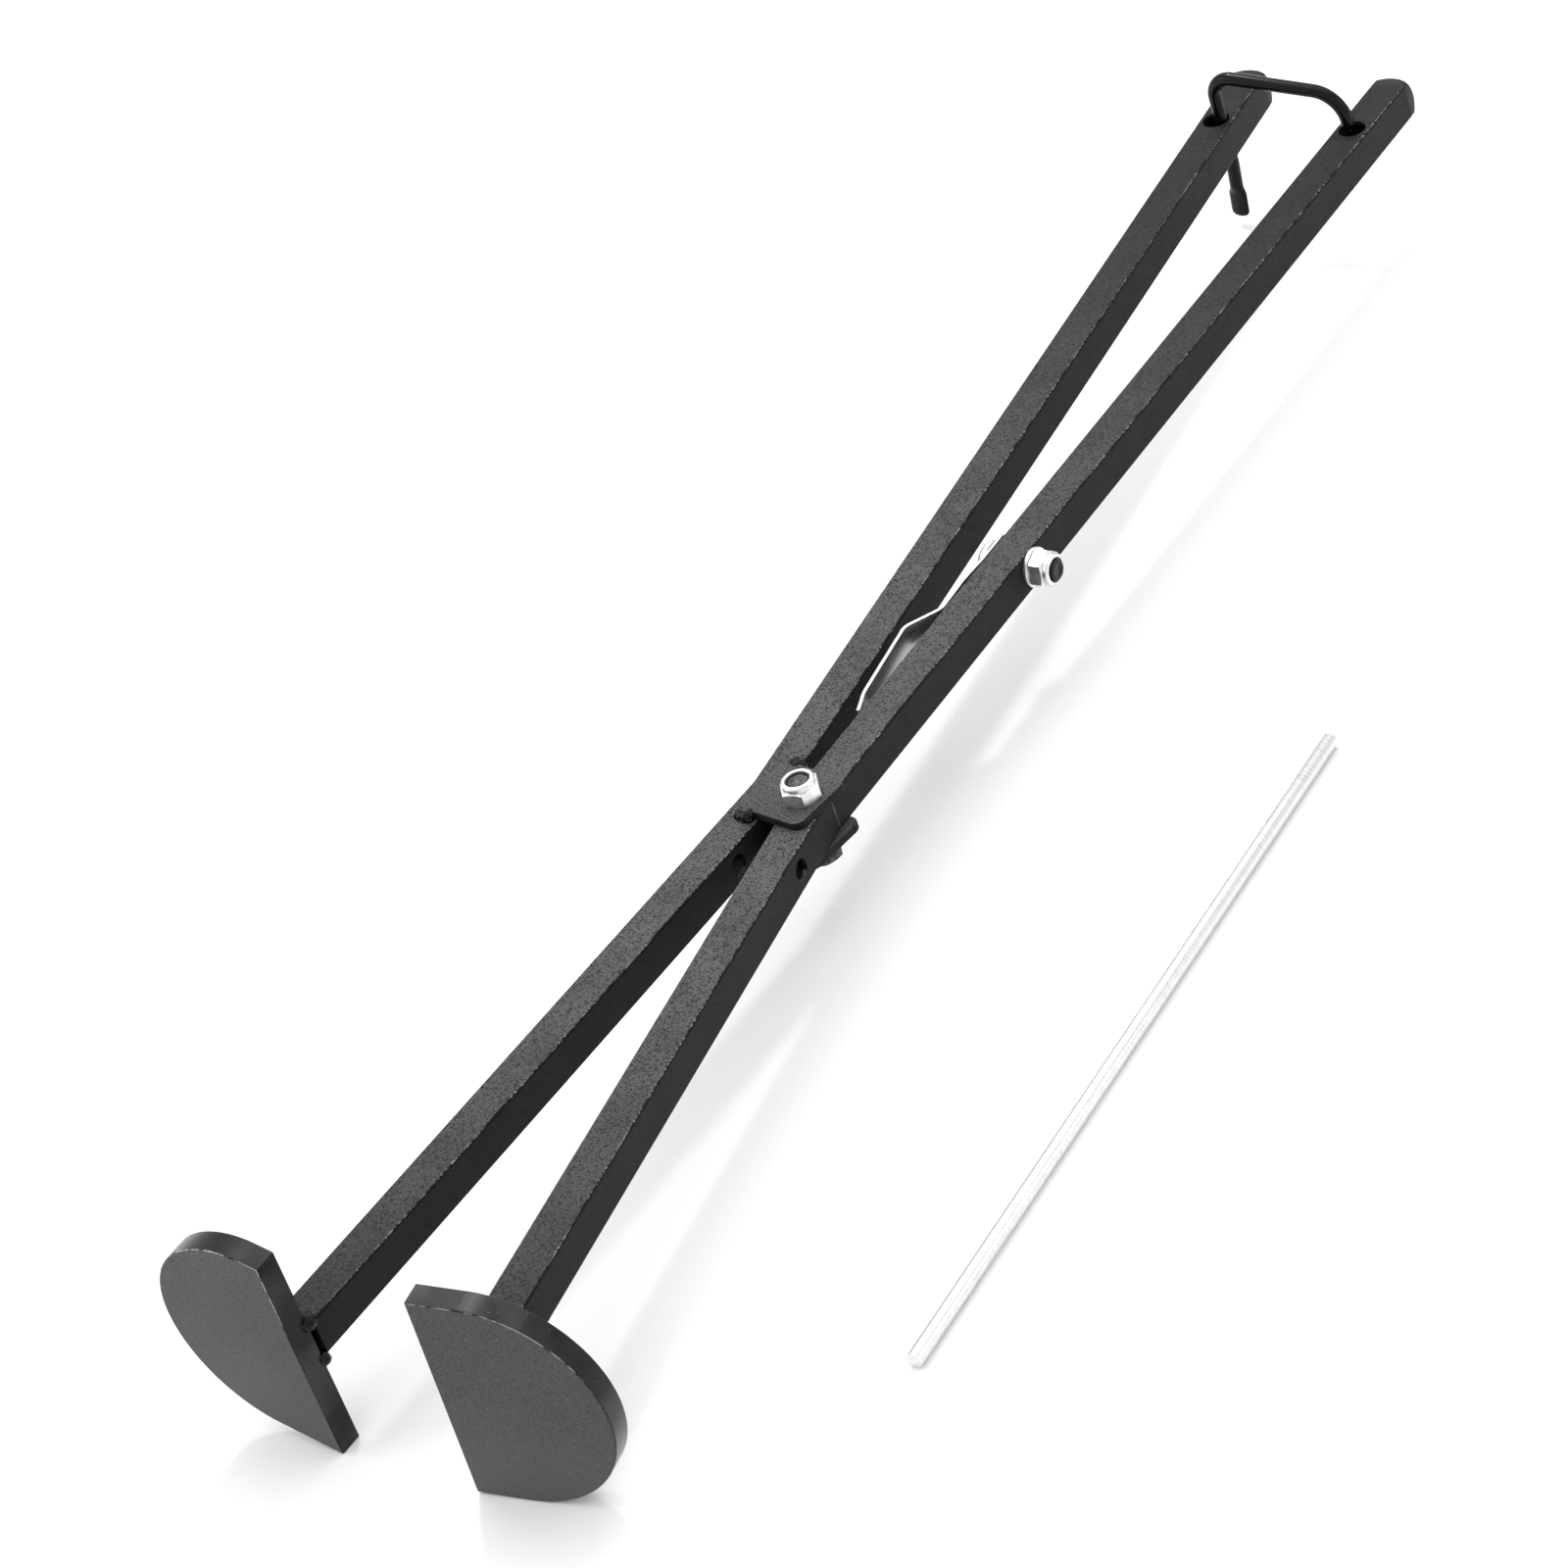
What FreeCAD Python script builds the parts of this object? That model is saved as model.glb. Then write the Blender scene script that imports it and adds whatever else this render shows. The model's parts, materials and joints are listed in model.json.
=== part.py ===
"""Hand-squeezed spreading tool: two bent square bars on one pivot, D-shaped plates at their ends,
a leaf spring between the handles, a wire bail that locks them, and a loose cross rod."""
import FreeCAD, Part
import math
import os
import Sketcher
from FreeCAD import Placement, Rotation, Vector

SIZES = [
    # bars
    ("bar_width", 15.0, "outside of the square tube"),
    ("bar_wall", 1.5, "tube wall"),
    ("bar_corner", 1.2, "outside corner radius of the tube"),
    ("upper_length", 450.0, "bend to the open end of a handle"),
    ("lower_reach", 284.0, "bend to the outer face of a plate"),
    ("handle_angle", 3.0, "lean of each handle away from the long axis"),
    ("left_lower_angle", 5.74, "lean of the left lower bar"),
    ("right_lower_angle", 5.35, "lean of the right lower bar"),
    ("bend_gap", 3.36, "clear between the two bars at their bends"),
    ("bend_stagger", 3.45, "the left bend sits this far up from the right one"),
    ("seam_width", 1.0, "weld seam that joins the two halves of a bar"),
    # plates
    ("plate_width", 84.0, "flat side of the right D plate"),
    ("plate_straight", 18.0, "flat side to the centre of the right plate's round side"),
    ("plate_turn", 3.0, "right plate turned on its bar, its top outward, in degrees"),
    ("left_plate_width", 82.5, "flat side of the left D plate"),
    ("left_plate_straight", 16.0, "flat side to the centre of the left plate's round side"),
    ("left_plate_skew", 13.5, "straight edges of the left plate off square, in degrees"),
    ("left_plate_drop", 1.1, "middle of the left plate's flat side below the bar's middle"),
    ("plate_thick", 9.0, "both plates"),
    ("plate_edge", 0.6, "rounding of the plate's edges"),
    ("plate_weld_leg", 4.0, "weld leg along the plate"),
    ("plate_weld_rise", 6.0, "weld height along the bar"),
    ("plate_weld_lap", 0.4, "weld thickness where it runs out on the bar"),
    ("plate_root_gap", 2.5, "bar end to plate, filled by the weld"),
    # pivot
    ("pivot_drop", 4.9, "bend to pivot, down the right lower bar"),
    ("pin_clearance", 0.1, "radial, bars and tabs on the bolts"),
    ("tab_thick", 3.0, "pivot tab"),
    ("tab_length", 27.0, "tab along the bars"),
    ("tab_width", 30.0, "tab across the bars"),
    ("tab_margin", 9.2, "pivot to the tab's free edge"),
    ("tab_turn", 12.1, "turn of the tabs from the long axis"),
    ("tab_corner", 4.0, "tab corner radius"),
    ("tab_weld_length", 9.0, "bead along a tab's edge"),
    ("tab_weld_gap", 1.0, "bead's end short of the left bar's inner side"),
    ("tab_weld_leg", 2.8, "bead leg"),
    # M8 fasteners
    ("bolt_diameter", 8.0, "M8 bolts"),
    ("bolt_tip", 0.8, "chamfer at a bolt's end"),
    ("head_flats", 13.0, "across flats of the hex heads and nuts"),
    ("head_height", 5.3, "hex head"),
    ("nut_hex_height", 5.4, "hex part of a lock nut"),
    ("nut_height", 8.0, "whole lock nut"),
    ("collar_diameter", 12.2, "round collar of a lock nut"),
    ("insert_height", 2.4, "nylon ring in the collar"),
    ("insert_diameter", 10.4, "outside of the nylon ring"),
    ("pivot_nut_turn", 36.0, "about the bolt, from +X to a corner of the hexagon"),
    ("pivot_bolt_recess", 0.8, "bolt end below the top of the pivot nut"),
    ("spring_bolt_stand", 1.0, "bolt end past the spring nut"),
    ("cup_head_diameter", 16.0, "round head of the spring bolt"),
    ("cup_head_height", 4.0, "round head of the spring bolt"),
    ("washer_diameter", 15.0, "washer under the spring nut"),
    ("washer_thick", 1.6, "washer under the spring nut"),
    # leaf spring, measured from the right bend along the handle
    ("spring_thick", 1.5, "strip"),
    ("spring_bolt_at", 141.8, "bend to the spring bolt"),
    ("spring_end_lap", 7.5, "strip past the bolt"),
    ("spring_bow_at", 122.0, "middle of the bowed stretch"),
    ("spring_bow", 0.8, "height of the bow off the bar"),
    ("spring_heel_at", 105.0, "where the strip leaves the bar"),
    ("spring_crest_at", 92.4, "crest nearest to the left handle"),
    ("spring_crest", 9.4, "crest off the bar, to the strip's middle"),
    ("spring_knee_at", 54.8, "where the strip turns back to the bar"),
    ("spring_knee", 4.2, "knee off the bar, to the strip's middle"),
    ("spring_tip_at", 45.5, "tip resting on the bar"),
    # bail
    ("bail_hole_at", 418.0, "bend to the bail holes"),
    ("bail_hole_play", 5.5, "holes through the handles, wider than the wire"),
    ("wire_diameter", 5.5, "bail wire"),
    ("long_leg_inset", 2.4, "long leg inward of its hole's centre"),
    ("short_leg_inset", 1.2, "short leg inward of its hole's centre"),
    ("bail_height", 20.0, "handle's top to the middle of the crown, over the long leg"),
    ("crown_fall", 5.0, "fall of the crown towards the short leg, in degrees"),
    ("long_leg_bend", 9.0, "crown radius over the long leg"),
    ("short_leg_bend", 13.5, "crown radius over the short leg"),
    ("short_leg_gap", 0.3, "short leg's end above the right handle"),
    ("tail_bend", 30.0, "radius where the long leg starts to lean"),
    ("tail_lean", 5.5, "lean of the long leg below the handle"),
    ("tail_start", 11.0, "below the mid-plane, where the lean starts"),
    ("tail_end", 40.3, "below the mid-plane, where the spade ends"),
    ("spade_width", 8.0, "flattened end of the long leg"),
    ("spade_thick", 3.2, "flattened end"),
    ("spade_length", 15.0, "flattened end"),
    # end caps
    ("cap_rise", 7.0, "dome beyond the bar"),
    ("cap_stem", 12.0, "stem inside the bar"),
    ("cap_clearance", 0.1, "stem to tube, each side"),
    # cross rod and its holes
    ("rod_diameter", 6.0, "cross rod"),
    ("rod_length", 310.0, "cross rod"),
    ("rod_chamfer", 0.6, "at both ends"),
    ("rod_hole_diameter", 8.0, "holes through the lower bars"),
    ("rod_hole_at", 30.9, "right bend to the rod hole, down the bar"),
    ("rod_beside", 136.6, "right bend to the middle of the loose rod, across"),
    ("rod_down", 45.5, "right bend to the middle of the loose rod, down"),
    ("rod_turn", 1.04, "turn of the loose rod from the long axis"),
]

doc = FreeCAD.newDocument("spreading_tool")
sheet = doc.addObject("Spreadsheet::Sheet", "Sizes")
for row, (alias, value, note) in enumerate(SIZES, start=1):
    sheet.set(f"A{row}", note)
    sheet.set(f"B{row}", str(value))
    sheet.setAlias(f"B{row}", alias)
doc.recompute()

UP = Vector(0, 0, 1)
ORIGIN = -1
CENTRE = 3
START = 1
END = 2
NODES = []


def val(alias):
    """A driving size, as a plain number."""
    return float(sheet.get(alias))


def bind(thing, prop, expression):
    """Tie a property to the sheet; bare aliases in the expression name its cells."""
    words = expression
    for alias in sorted((entry[0] for entry in SIZES), key=len, reverse=True):
        words = words.replace(f"[{alias}]", f"Sizes.{alias}")
    thing.setExpression(prop, words)


def new_body(label):
    body = doc.addObject("PartDesign::Body", label)
    body.Label = label
    NODES.append(body)
    return body


def origin_plane(body, role):
    return next(item for item in body.Origin.OriginFeatures if item.Role == role)


def new_sketch(body, name, role="XY_Plane", offset=None):
    sketch = body.newObject("Sketcher::SketchObject", f"{body.Label}_{name}")
    sketch.AttachmentSupport = [(origin_plane(body, role), "")]
    sketch.MapMode = "FlatFace"
    if offset is not None:
        sketch.AttachmentOffset = offset
    return sketch


def constrain(sketch, name, kind, args, expression):
    """A named dimension in a sketch, tied to the sheet."""
    index = sketch.addConstraint(Sketcher.Constraint(kind, *args))
    sketch.renameConstraint(index, name)
    bind(sketch, f"Constraints.{name}", expression)


def link(sketch, kind, *args):
    sketch.addConstraint(Sketcher.Constraint(kind, *args))


def draw_rounded_square(sketch, tag, width, corner):
    """A square centred on the sketch's origin, with round corners, from two expressions."""
    half = 5.0
    turn = 1.0
    inner = half - turn
    first = sketch.GeometryCount
    corners = [(1, 1, 0), (-1, 1, 90), (-1, -1, 180), (1, -1, 270)]
    for x, y, start in corners:
        circle = Part.Circle(Vector(x * inner, y * inner, 0), UP, turn)
        sketch.addGeometry(Part.ArcOfCircle(circle, math.radians(start), math.radians(start + 90)))
    sides = [((inner, half), (-inner, half)), ((-half, inner), (-half, -inner)),
             ((-inner, -half), (inner, -half)), ((half, -inner), (half, inner))]
    for (x0, y0), (x1, y1) in sides:
        sketch.addGeometry(Part.LineSegment(Vector(x0, y0, 0), Vector(x1, y1, 0)))
    for side in range(4):
        line = first + 4 + side
        link(sketch, "Tangent", first + side, END, line, START)
        link(sketch, "Tangent", line, END, first + (side + 1) % 4, START)
        link(sketch, "Vertical" if side % 2 else "Horizontal", line)
    for arc in range(1, 4):
        link(sketch, "Equal", first, first + arc)
    link(sketch, "Symmetric", first, CENTRE, first + 2, CENTRE, ORIGIN, START)
    constrain(sketch, f"{tag}_corner", "Radius", (first, turn), corner)
    across = (first + 5, START, first + 7, START, 2 * half)
    constrain(sketch, f"{tag}_across", "DistanceX", across, width)
    upright = (first + 6, START, first + 4, START, 2 * half)
    constrain(sketch, f"{tag}_upright", "DistanceY", upright, width)


def pad(body, sketch, name, length):
    feature = body.newObject("PartDesign::Pad", f"{body.Label}_{name}")
    feature.Profile = sketch
    bind(feature, "Length", length)
    sketch.Visibility = False
    return feature


def primitive(body, kind, name, place, **sizes):
    """An additive or subtractive primitive of a body, at a place in the body's own frame."""
    feature = body.newObject(f"PartDesign::{kind}", f"{body.Label}_{name}")
    feature.AttachmentSupport = [(origin_plane(body, "XY_Plane"), "")]
    feature.MapMode = "FlatFace"
    feature.AttachmentOffset = place
    for prop, expression in sizes.items():
        bind(feature, prop, expression)
    return feature


def at(x=0.0, y=0.0, z=0.0, rotation=None):
    return Placement(Vector(x, y, z), rotation or Rotation())


def about_z(degrees):
    return Rotation(UP, degrees)


# Layout, seen from above: the right bend is at the origin, the long axis is +Y, mid-height is z = 0.
BAR = val("bar_width")
HALF_BAR = BAR / 2
LEFT_BEND = Vector(-BAR - val("bend_gap"), val("bend_stagger"), 0)
RIGHT_BEND = Vector(0, 0, 0)
# heading of each bar from its bend outward, as a turn about +Z from +X
HEADING = {
    "left_upper_arm": 90 + val("handle_angle"),
    "right_upper_arm": 90 - val("handle_angle"),
    "left_lower_arm": 270 - val("left_lower_angle"),
    "right_lower_arm": 270 + val("right_lower_angle"),
}


def along(arm, distance, side=0.0):
    """A point of a bar's middle line, or to the left of it by side, looking outward."""
    bend = LEFT_BEND if arm.startswith("left") else RIGHT_BEND
    heading = about_z(HEADING[arm])
    return bend + heading.multVec(Vector(distance, side, 0))


PIVOT = along("right_lower_arm", val("pivot_drop"))


def square_tube(label, length, mitre):
    """A tube with its end cut for the seam at the bend; mitre is half the bend, signed."""
    body = new_body(label)
    allowance = "[bar_width] / 4"
    section = new_sketch(body, "section", "YZ_Plane")
    bind(section, "AttachmentOffset.Base.z", f"-{allowance}")
    draw_rounded_square(section, "outer", "[bar_width]", "[bar_corner]")
    draw_rounded_square(section, "inner", "[bar_width] - 2 * [bar_wall]", "[bar_corner] / 2")
    pad(body, section, "length", f"{length} + {allowance}")
    turn = about_z(mitre)
    corner = turn.multVec(Vector(val("seam_width") / 2 - 2 * BAR, -BAR, -BAR))
    primitive(body, "SubtractiveBox", "mitre", Placement(corner, turn),
              Length="2 * [bar_width]", Width="2 * [bar_width]", Height="2 * [bar_width]")
    body.Placement = at(*along(label, 0), about_z(HEADING[label]))
    return body


def upright_hole(body, name, distance, radius):
    place = at(distance, 0, -BAR)
    primitive(body, "SubtractiveCylinder", name, place, Radius=radius, Height="2 * [bar_width]")


def level_hole(body, name, distance, radius):
    place = at(distance, BAR, 0, Rotation(Vector(1, 0, 0), 90))
    primitive(body, "SubtractiveCylinder", name, place, Radius=radius, Height="2 * [bar_width]")


def make_arms():
    left_mitre = (val("handle_angle") + val("left_lower_angle")) / 2
    right_mitre = (val("handle_angle") + val("right_lower_angle")) / 2
    lower = "[lower_reach] - [plate_thick] - [plate_root_gap]"
    bail_hole = "([wire_diameter] + [bail_hole_play]) / 2"
    bolt_hole = "[bolt_diameter] / 2 + [pin_clearance]"
    rod_hole = "[rod_hole_diameter] / 2"

    left_upper = square_tube("left_upper_arm", "[upper_length]", -left_mitre)
    upright_hole(left_upper, "bail_hole", val("bail_hole_at"), bail_hole)
    right_upper = square_tube("right_upper_arm", "[upper_length]", right_mitre)
    upright_hole(right_upper, "bail_hole", val("bail_hole_at"), bail_hole)
    level_hole(right_upper, "spring_hole", val("spring_bolt_at"), bolt_hole)
    left_lower = square_tube("left_lower_arm", lower, left_mitre)
    level_hole(left_lower, "rod_hole", val("rod_hole_at") + val("bend_stagger"), rod_hole)
    right_lower = square_tube("right_lower_arm", lower, -right_mitre)
    upright_hole(right_lower, "pivot_hole", val("pivot_drop"), bolt_hole)
    level_hole(right_lower, "rod_hole", val("rod_hole_at"), rod_hole)


def make_bend_welds():
    """The ground weld in the mitre between a handle and its lower bar."""
    for side, bend in (("left", LEFT_BEND), ("right", RIGHT_BEND)):
        upper = HEADING[f"{side}_upper_arm"]
        lower = HEADING[f"{side}_lower_arm"] - 180
        body = new_body(f"{side}_bend_weld")
        section = new_sketch(body, "section", "YZ_Plane")
        bind(section, "AttachmentOffset.Base.z", "-[seam_width] / 2")
        draw_rounded_square(section, "outer", "[bar_width]", "[bar_corner]")
        draw_rounded_square(section, "inner", "[bar_width] - 2 * [bar_wall]", "[bar_corner] / 2")
        pad(body, section, "seam", "[seam_width]")
        body.Placement = Placement(bend, about_z((upper + lower) / 2))


def draw_plate(sketch, width, straight):
    """A D outline: a flat side on the Y axis, two parallel edges, and a half circle."""
    radius = 5.0
    sketch.addGeometry(Part.LineSegment(Vector(0, radius, 0), Vector(0, -radius, 0)))
    sketch.addGeometry(Part.LineSegment(Vector(0, -radius, 0), Vector(3, -radius, 0)))
    circle = Part.Circle(Vector(3, 0, 0), UP, radius)
    sketch.addGeometry(Part.ArcOfCircle(circle, math.radians(-90), math.radians(90)))
    sketch.addGeometry(Part.LineSegment(Vector(3, radius, 0), Vector(0, radius, 0)))
    link(sketch, "Coincident", 0, END, 1, START)
    link(sketch, "Tangent", 1, END, 2, START)
    link(sketch, "Tangent", 2, END, 3, START)
    link(sketch, "Coincident", 3, END, 0, START)
    link(sketch, "Vertical", 0)
    link(sketch, "Parallel", 1, 3)
    link(sketch, "Symmetric", 0, START, 0, END, ORIGIN, START)
    constrain(sketch, "width", "DistanceY", (0, END, 0, START, 2 * radius), width)
    constrain(sketch, "straight", "DistanceX", (ORIGIN, START, 2, CENTRE, 3.0), straight)


def draw_right_plate(sketch):
    draw_plate(sketch, "[plate_width]", "[plate_straight]")
    link(sketch, "Horizontal", 3)


def draw_left_plate(sketch):
    draw_plate(sketch, "[left_plate_width]", "[left_plate_straight]")
    constrain(sketch, "skew", "Angle", (3, math.pi), "180 - [left_plate_skew]")


def plate_frame(side, reach):
    """On the bar's middle line: x towards the round side, z outward along the bar."""
    arm = f"{side}_lower_arm"
    outward = about_z(HEADING[arm]).multVec(Vector(1, 0, 0))
    sideways = about_z(HEADING[arm]).multVec(Vector(0, -1 if side == "left" else 1, 0))
    upright = outward.cross(sideways)
    return Placement(along(arm, reach), Rotation(sideways, upright, outward, "ZXY"))


def make_plates():
    back = val("lower_reach") - val("plate_thick")
    draws = {"left": draw_left_plate, "right": draw_right_plate}
    # the left frame's y points down, the right frame's y points up
    seats = {"left": at(-HALF_BAR, val("left_plate_drop")),
             "right": at(0, 0, 0, about_z(-val("plate_turn"))).multiply(at(-HALF_BAR))}
    for side in ("left", "right"):
        body = new_body(f"{side}_plate")
        outline = new_sketch(body, "outline")
        draws[side](outline)
        slab = pad(body, outline, "slab", "[plate_thick]")
        doc.recompute()
        edges = body.newObject("PartDesign::Fillet", f"{side}_plate_edges")
        faces = [index for index, face in enumerate(slab.Shape.Faces, start=1)
                 if abs(face.normalAt(0, 0).z) > 0.99]
        edges.Base = (slab, [f"Face{index}" for index in faces])
        bind(edges, "Radius", "[plate_edge]")
        body.Placement = plate_frame(side, back).multiply(seats[side])


def make_plate_welds():
    """A weld on three sides of the bar's end, and in the gap between the bar and the plate."""
    for side in ("left", "right"):
        body = new_body(f"{side}_plate_weld")
        upright = Rotation(Vector(1, 0, 0), -90)
        toe = "[bar_width] / 2 + [plate_weld_leg]"
        lap = "[bar_width] / 2 + [plate_weld_lap]"
        primitive(body, "AdditiveWedge", "bead", at(0, 0, 0, upright),
                  Xmin="0", Xmax="[bar_width] + [plate_weld_leg]", Zmin=f"-({toe})", Zmax=toe,
                  Ymin="0", Ymax="[plate_weld_rise]",
                  X2min="0", X2max="[bar_width] + [plate_weld_lap]", Z2min=f"-({lap})", Z2max=lap)
        corner = at(-BAR, -HALF_BAR, -val("plate_weld_rise") - BAR)
        primitive(body, "SubtractiveBox", "bar_end", corner, Length="2 * [bar_width]",
                  Width="[bar_width]", Height="[bar_width] + [plate_weld_rise] - [plate_root_gap]")
        back = val("lower_reach") - val("plate_thick")
        body.Placement = plate_frame(side, back).multiply(at(-HALF_BAR))


def tab_place(height):
    """At the pivot: x away from the left bar, y up the tool, turned with the tabs."""
    return Placement(PIVOT + UP * height, about_z(-val("tab_turn")))


def make_tabs():
    levels = {"upper_pivot_tab": HALF_BAR, "lower_pivot_tab": -HALF_BAR - val("tab_thick")}
    for label, height in levels.items():
        body = new_body(label)
        shift = at(val("tab_margin") - val("tab_width") / 2)
        outline = new_sketch(body, "outline", offset=shift)
        draw_rounded_tab(outline)
        pad(body, outline, "slab", "[tab_thick]")
        primitive(body, "SubtractiveCylinder", "pin_hole", at(0, 0, -1),
                  Radius="[bolt_diameter] / 2 + [pin_clearance]", Height="[tab_thick] + 2")
        body.Placement = tab_place(height)


def draw_rounded_tab(sketch):
    """The tab's rectangle, centred on the sketch's origin, with round corners."""
    draw_rounded_square(sketch, "tab", "[tab_width]", "[tab_corner]")
    names = [constraint.Name for constraint in sketch.Constraints]
    bind(sketch, f"Constraints[{names.index('tab_upright')}]", "[tab_length]")


def make_tab_welds():
    """A bead on the left bar at the front and the rear edge of each tab."""
    for level, up in (("upper", 1), ("lower", -1)):
        for edge, ahead in (("front", -1), ("rear", 1)):
            body = new_body(f"{level}_tab_{edge}_weld")
            # the quarter-round's axis runs across the bar, in the corner between tab and bar
            quarter = Rotation(Vector(0, ahead, 0), Vector(0, 0, up), Vector(ahead * up, 0, 0), "ZXY")
            primitive(body, "AdditiveCylinder", "bead", at(0, 0, 0, quarter),
                      Radius="[tab_weld_leg]", Height="[tab_weld_length]", Angle="90")
            near_end = -HALF_BAR - val("bend_gap") - val("tab_weld_gap")
            start = near_end - val("tab_weld_length") if ahead * up > 0 else near_end
            local = Vector(start, ahead * val("tab_length") / 2, 0)
            place = tab_place(up * HALF_BAR)
            body.Placement = Placement(place.multVec(local), place.Rotation)


def hex_radius():
    return "[head_flats] / sqrt(3)"


def make_bolt(label, place, shank, round_head):
    """A bolt with its head below z = 0 and its shank upward."""
    body = new_body(label)
    if round_head:
        primitive(body, "AdditiveCone", "head", at(0, 0, -val("cup_head_height")),
                  Radius1="[cup_head_diameter] / 3", Radius2="[cup_head_diameter] / 2",
                  Height="[cup_head_height]")
    else:
        primitive(body, "AdditivePrism", "head", at(0, 0, -val("head_height")),
                  Circumradius=hex_radius(), Height="[head_height]")
    primitive(body, "AdditiveCylinder", "shank", at(), Radius="[bolt_diameter] / 2",
              Height=f"{shank} - [bolt_tip]")
    tip = primitive(body, "AdditiveCone", "tip", at(), Radius1="[bolt_diameter] / 2",
                    Radius2="[bolt_diameter] / 2 - [bolt_tip]", Height="[bolt_tip]")
    bind(tip, "AttachmentOffset.Base.z", f"{shank} - [bolt_tip]")
    body.Placement = place


def make_lock_nut(label, place):
    """A hex lock nut, its seat at z = 0, with a round collar around a nylon ring."""
    nut = new_body(label)
    primitive(nut, "AdditivePrism", "hex", at(), Circumradius=hex_radius(), Height="[nut_hex_height]")
    primitive(nut, "AdditiveCylinder", "collar", at(), Radius="[collar_diameter] / 2",
              Height="[nut_height]")
    primitive(nut, "SubtractiveCylinder", "thread", at(0, 0, -1), Radius="[bolt_diameter] / 2",
              Height="[nut_height] + 2")
    seat = primitive(nut, "SubtractiveCylinder", "insert_seat", at(),
                     Radius="[insert_diameter] / 2", Height="[nut_height]")
    bind(seat, "AttachmentOffset.Base.z", "[nut_height] - [insert_height]")
    nut.Placement = place
    ring = new_body(f"{label}_insert")
    primitive(ring, "AdditiveCylinder", "ring", at(), Radius="[insert_diameter] / 2",
              Height="[insert_height] * 0.8")
    primitive(ring, "SubtractiveCylinder", "bore", at(0, 0, -1), Radius="[bolt_diameter] / 2",
              Height="[nut_height]")
    ring.Placement = place.multiply(at(0, 0, val("nut_height") - val("insert_height")))


def make_pivot_fasteners():
    under = -HALF_BAR - val("tab_thick")
    turn = about_z(val("pivot_nut_turn"))
    shank = "[bar_width] + 2 * [tab_thick] + [nut_height] - [pivot_bolt_recess]"
    make_bolt("pivot_bolt", Placement(PIVOT + UP * under, turn), shank, round_head=False)
    make_lock_nut("pivot_nut", Placement(PIVOT - UP * under, turn))


def spring_bolt_frame(side):
    """On the right handle: z outward through the bar's outer side, at a distance off its middle."""
    outer = about_z(HEADING["right_upper_arm"]).multVec(Vector(0, -1, 0))
    turn = Rotation(Vector(1, 0, 0), UP, outer, "ZYX")
    return Placement(along("right_upper_arm", val("spring_bolt_at"), -side), turn)


def make_spring_fasteners():
    inside = -HALF_BAR - val("spring_thick")
    stack = "[spring_thick] + [bar_width] + [washer_thick] + [nut_height]"
    shank = f"{stack} + [spring_bolt_stand]"
    make_bolt("spring_bolt", spring_bolt_frame(inside), shank, round_head=True)
    washer = new_body("spring_washer")
    primitive(washer, "AdditiveCylinder", "ring", at(), Radius="[washer_diameter] / 2",
              Height="[washer_thick]")
    primitive(washer, "SubtractiveCylinder", "bore", at(0, 0, -1),
              Radius="[bolt_diameter] / 2 + [pin_clearance]", Height="[washer_thick] + 2")
    washer.Placement = spring_bolt_frame(HALF_BAR)
    make_lock_nut("spring_nut", spring_bolt_frame(HALF_BAR + val("washer_thick")))


def rounded_route(points, radius):
    """A wire of straight runs joined by tangent arcs."""
    edges = []
    here = points[0]
    for before, corner, after in zip(points, points[1:], points[2:]):
        back = (before - corner).normalize()
        ahead = (after - corner).normalize()
        half_turn = (math.pi - back.getAngle(ahead)) / 2
        reach = radius * math.tan(half_turn)
        start = corner + back * reach
        finish = corner + ahead * reach
        bisector = (back + ahead).normalize()
        middle = corner + bisector * (radius / math.cos(half_turn) - radius)
        edges.append(Part.LineSegment(here, start).toShape())
        edges.append(Part.Arc(start, middle, finish).toShape())
        here = finish
    edges.append(Part.LineSegment(here, points[-1]).toShape())
    return Part.Wire(edges)


def make_leaf_spring():
    """A flat strip bolted to the right handle, bent out to a crest and back to the bar."""
    thick = val("spring_thick")
    flush = HALF_BAR + thick / 2
    stations = [
        (val("spring_bolt_at") + val("spring_end_lap"), flush),
        (val("spring_bolt_at") - val("cup_head_diameter") / 2, flush),
        (val("spring_bow_at"), flush + val("spring_bow")),
        (val("spring_heel_at"), flush),
        (val("spring_crest_at"), HALF_BAR + val("spring_crest")),
        (val("spring_knee_at"), HALF_BAR + val("spring_knee")),
        (val("spring_tip_at"), flush),
    ]
    points = [Vector(distance, offset, 0) for distance, offset in stations]
    route = rounded_route(points, 2 * thick)
    start = points[0]
    corners = [Vector(start.x, start.y + y * thick / 2, z * HALF_BAR)
               for y, z in ((-1, -1), (1, -1), (1, 1), (-1, 1), (-1, -1))]
    strip = route.makePipeShell([Part.makePolygon(corners)], True, True)
    hole_radius = val("bolt_diameter") / 2 + val("pin_clearance")
    hole = Part.makeCylinder(hole_radius, BAR, Vector(val("spring_bolt_at"), 0, 0), Vector(0, 1, 0))
    feature = doc.addObject("Part::Feature", "leaf_spring")
    feature.Label = "leaf_spring"
    feature.Shape = strip.cut(hole)
    feature.Placement = at(*RIGHT_BEND, about_z(HEADING["right_upper_arm"]))
    NODES.append(feature)


def bail_frame():
    """At the left handle's hole, mid-height: x towards the right handle's hole."""
    left = along("left_upper_arm", val("bail_hole_at"))
    right = along("right_upper_arm", val("bail_hole_at"))
    across = right - left
    turn = about_z(math.degrees(math.atan2(across.y, across.x)))
    return Placement(left, turn), across.Length


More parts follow.
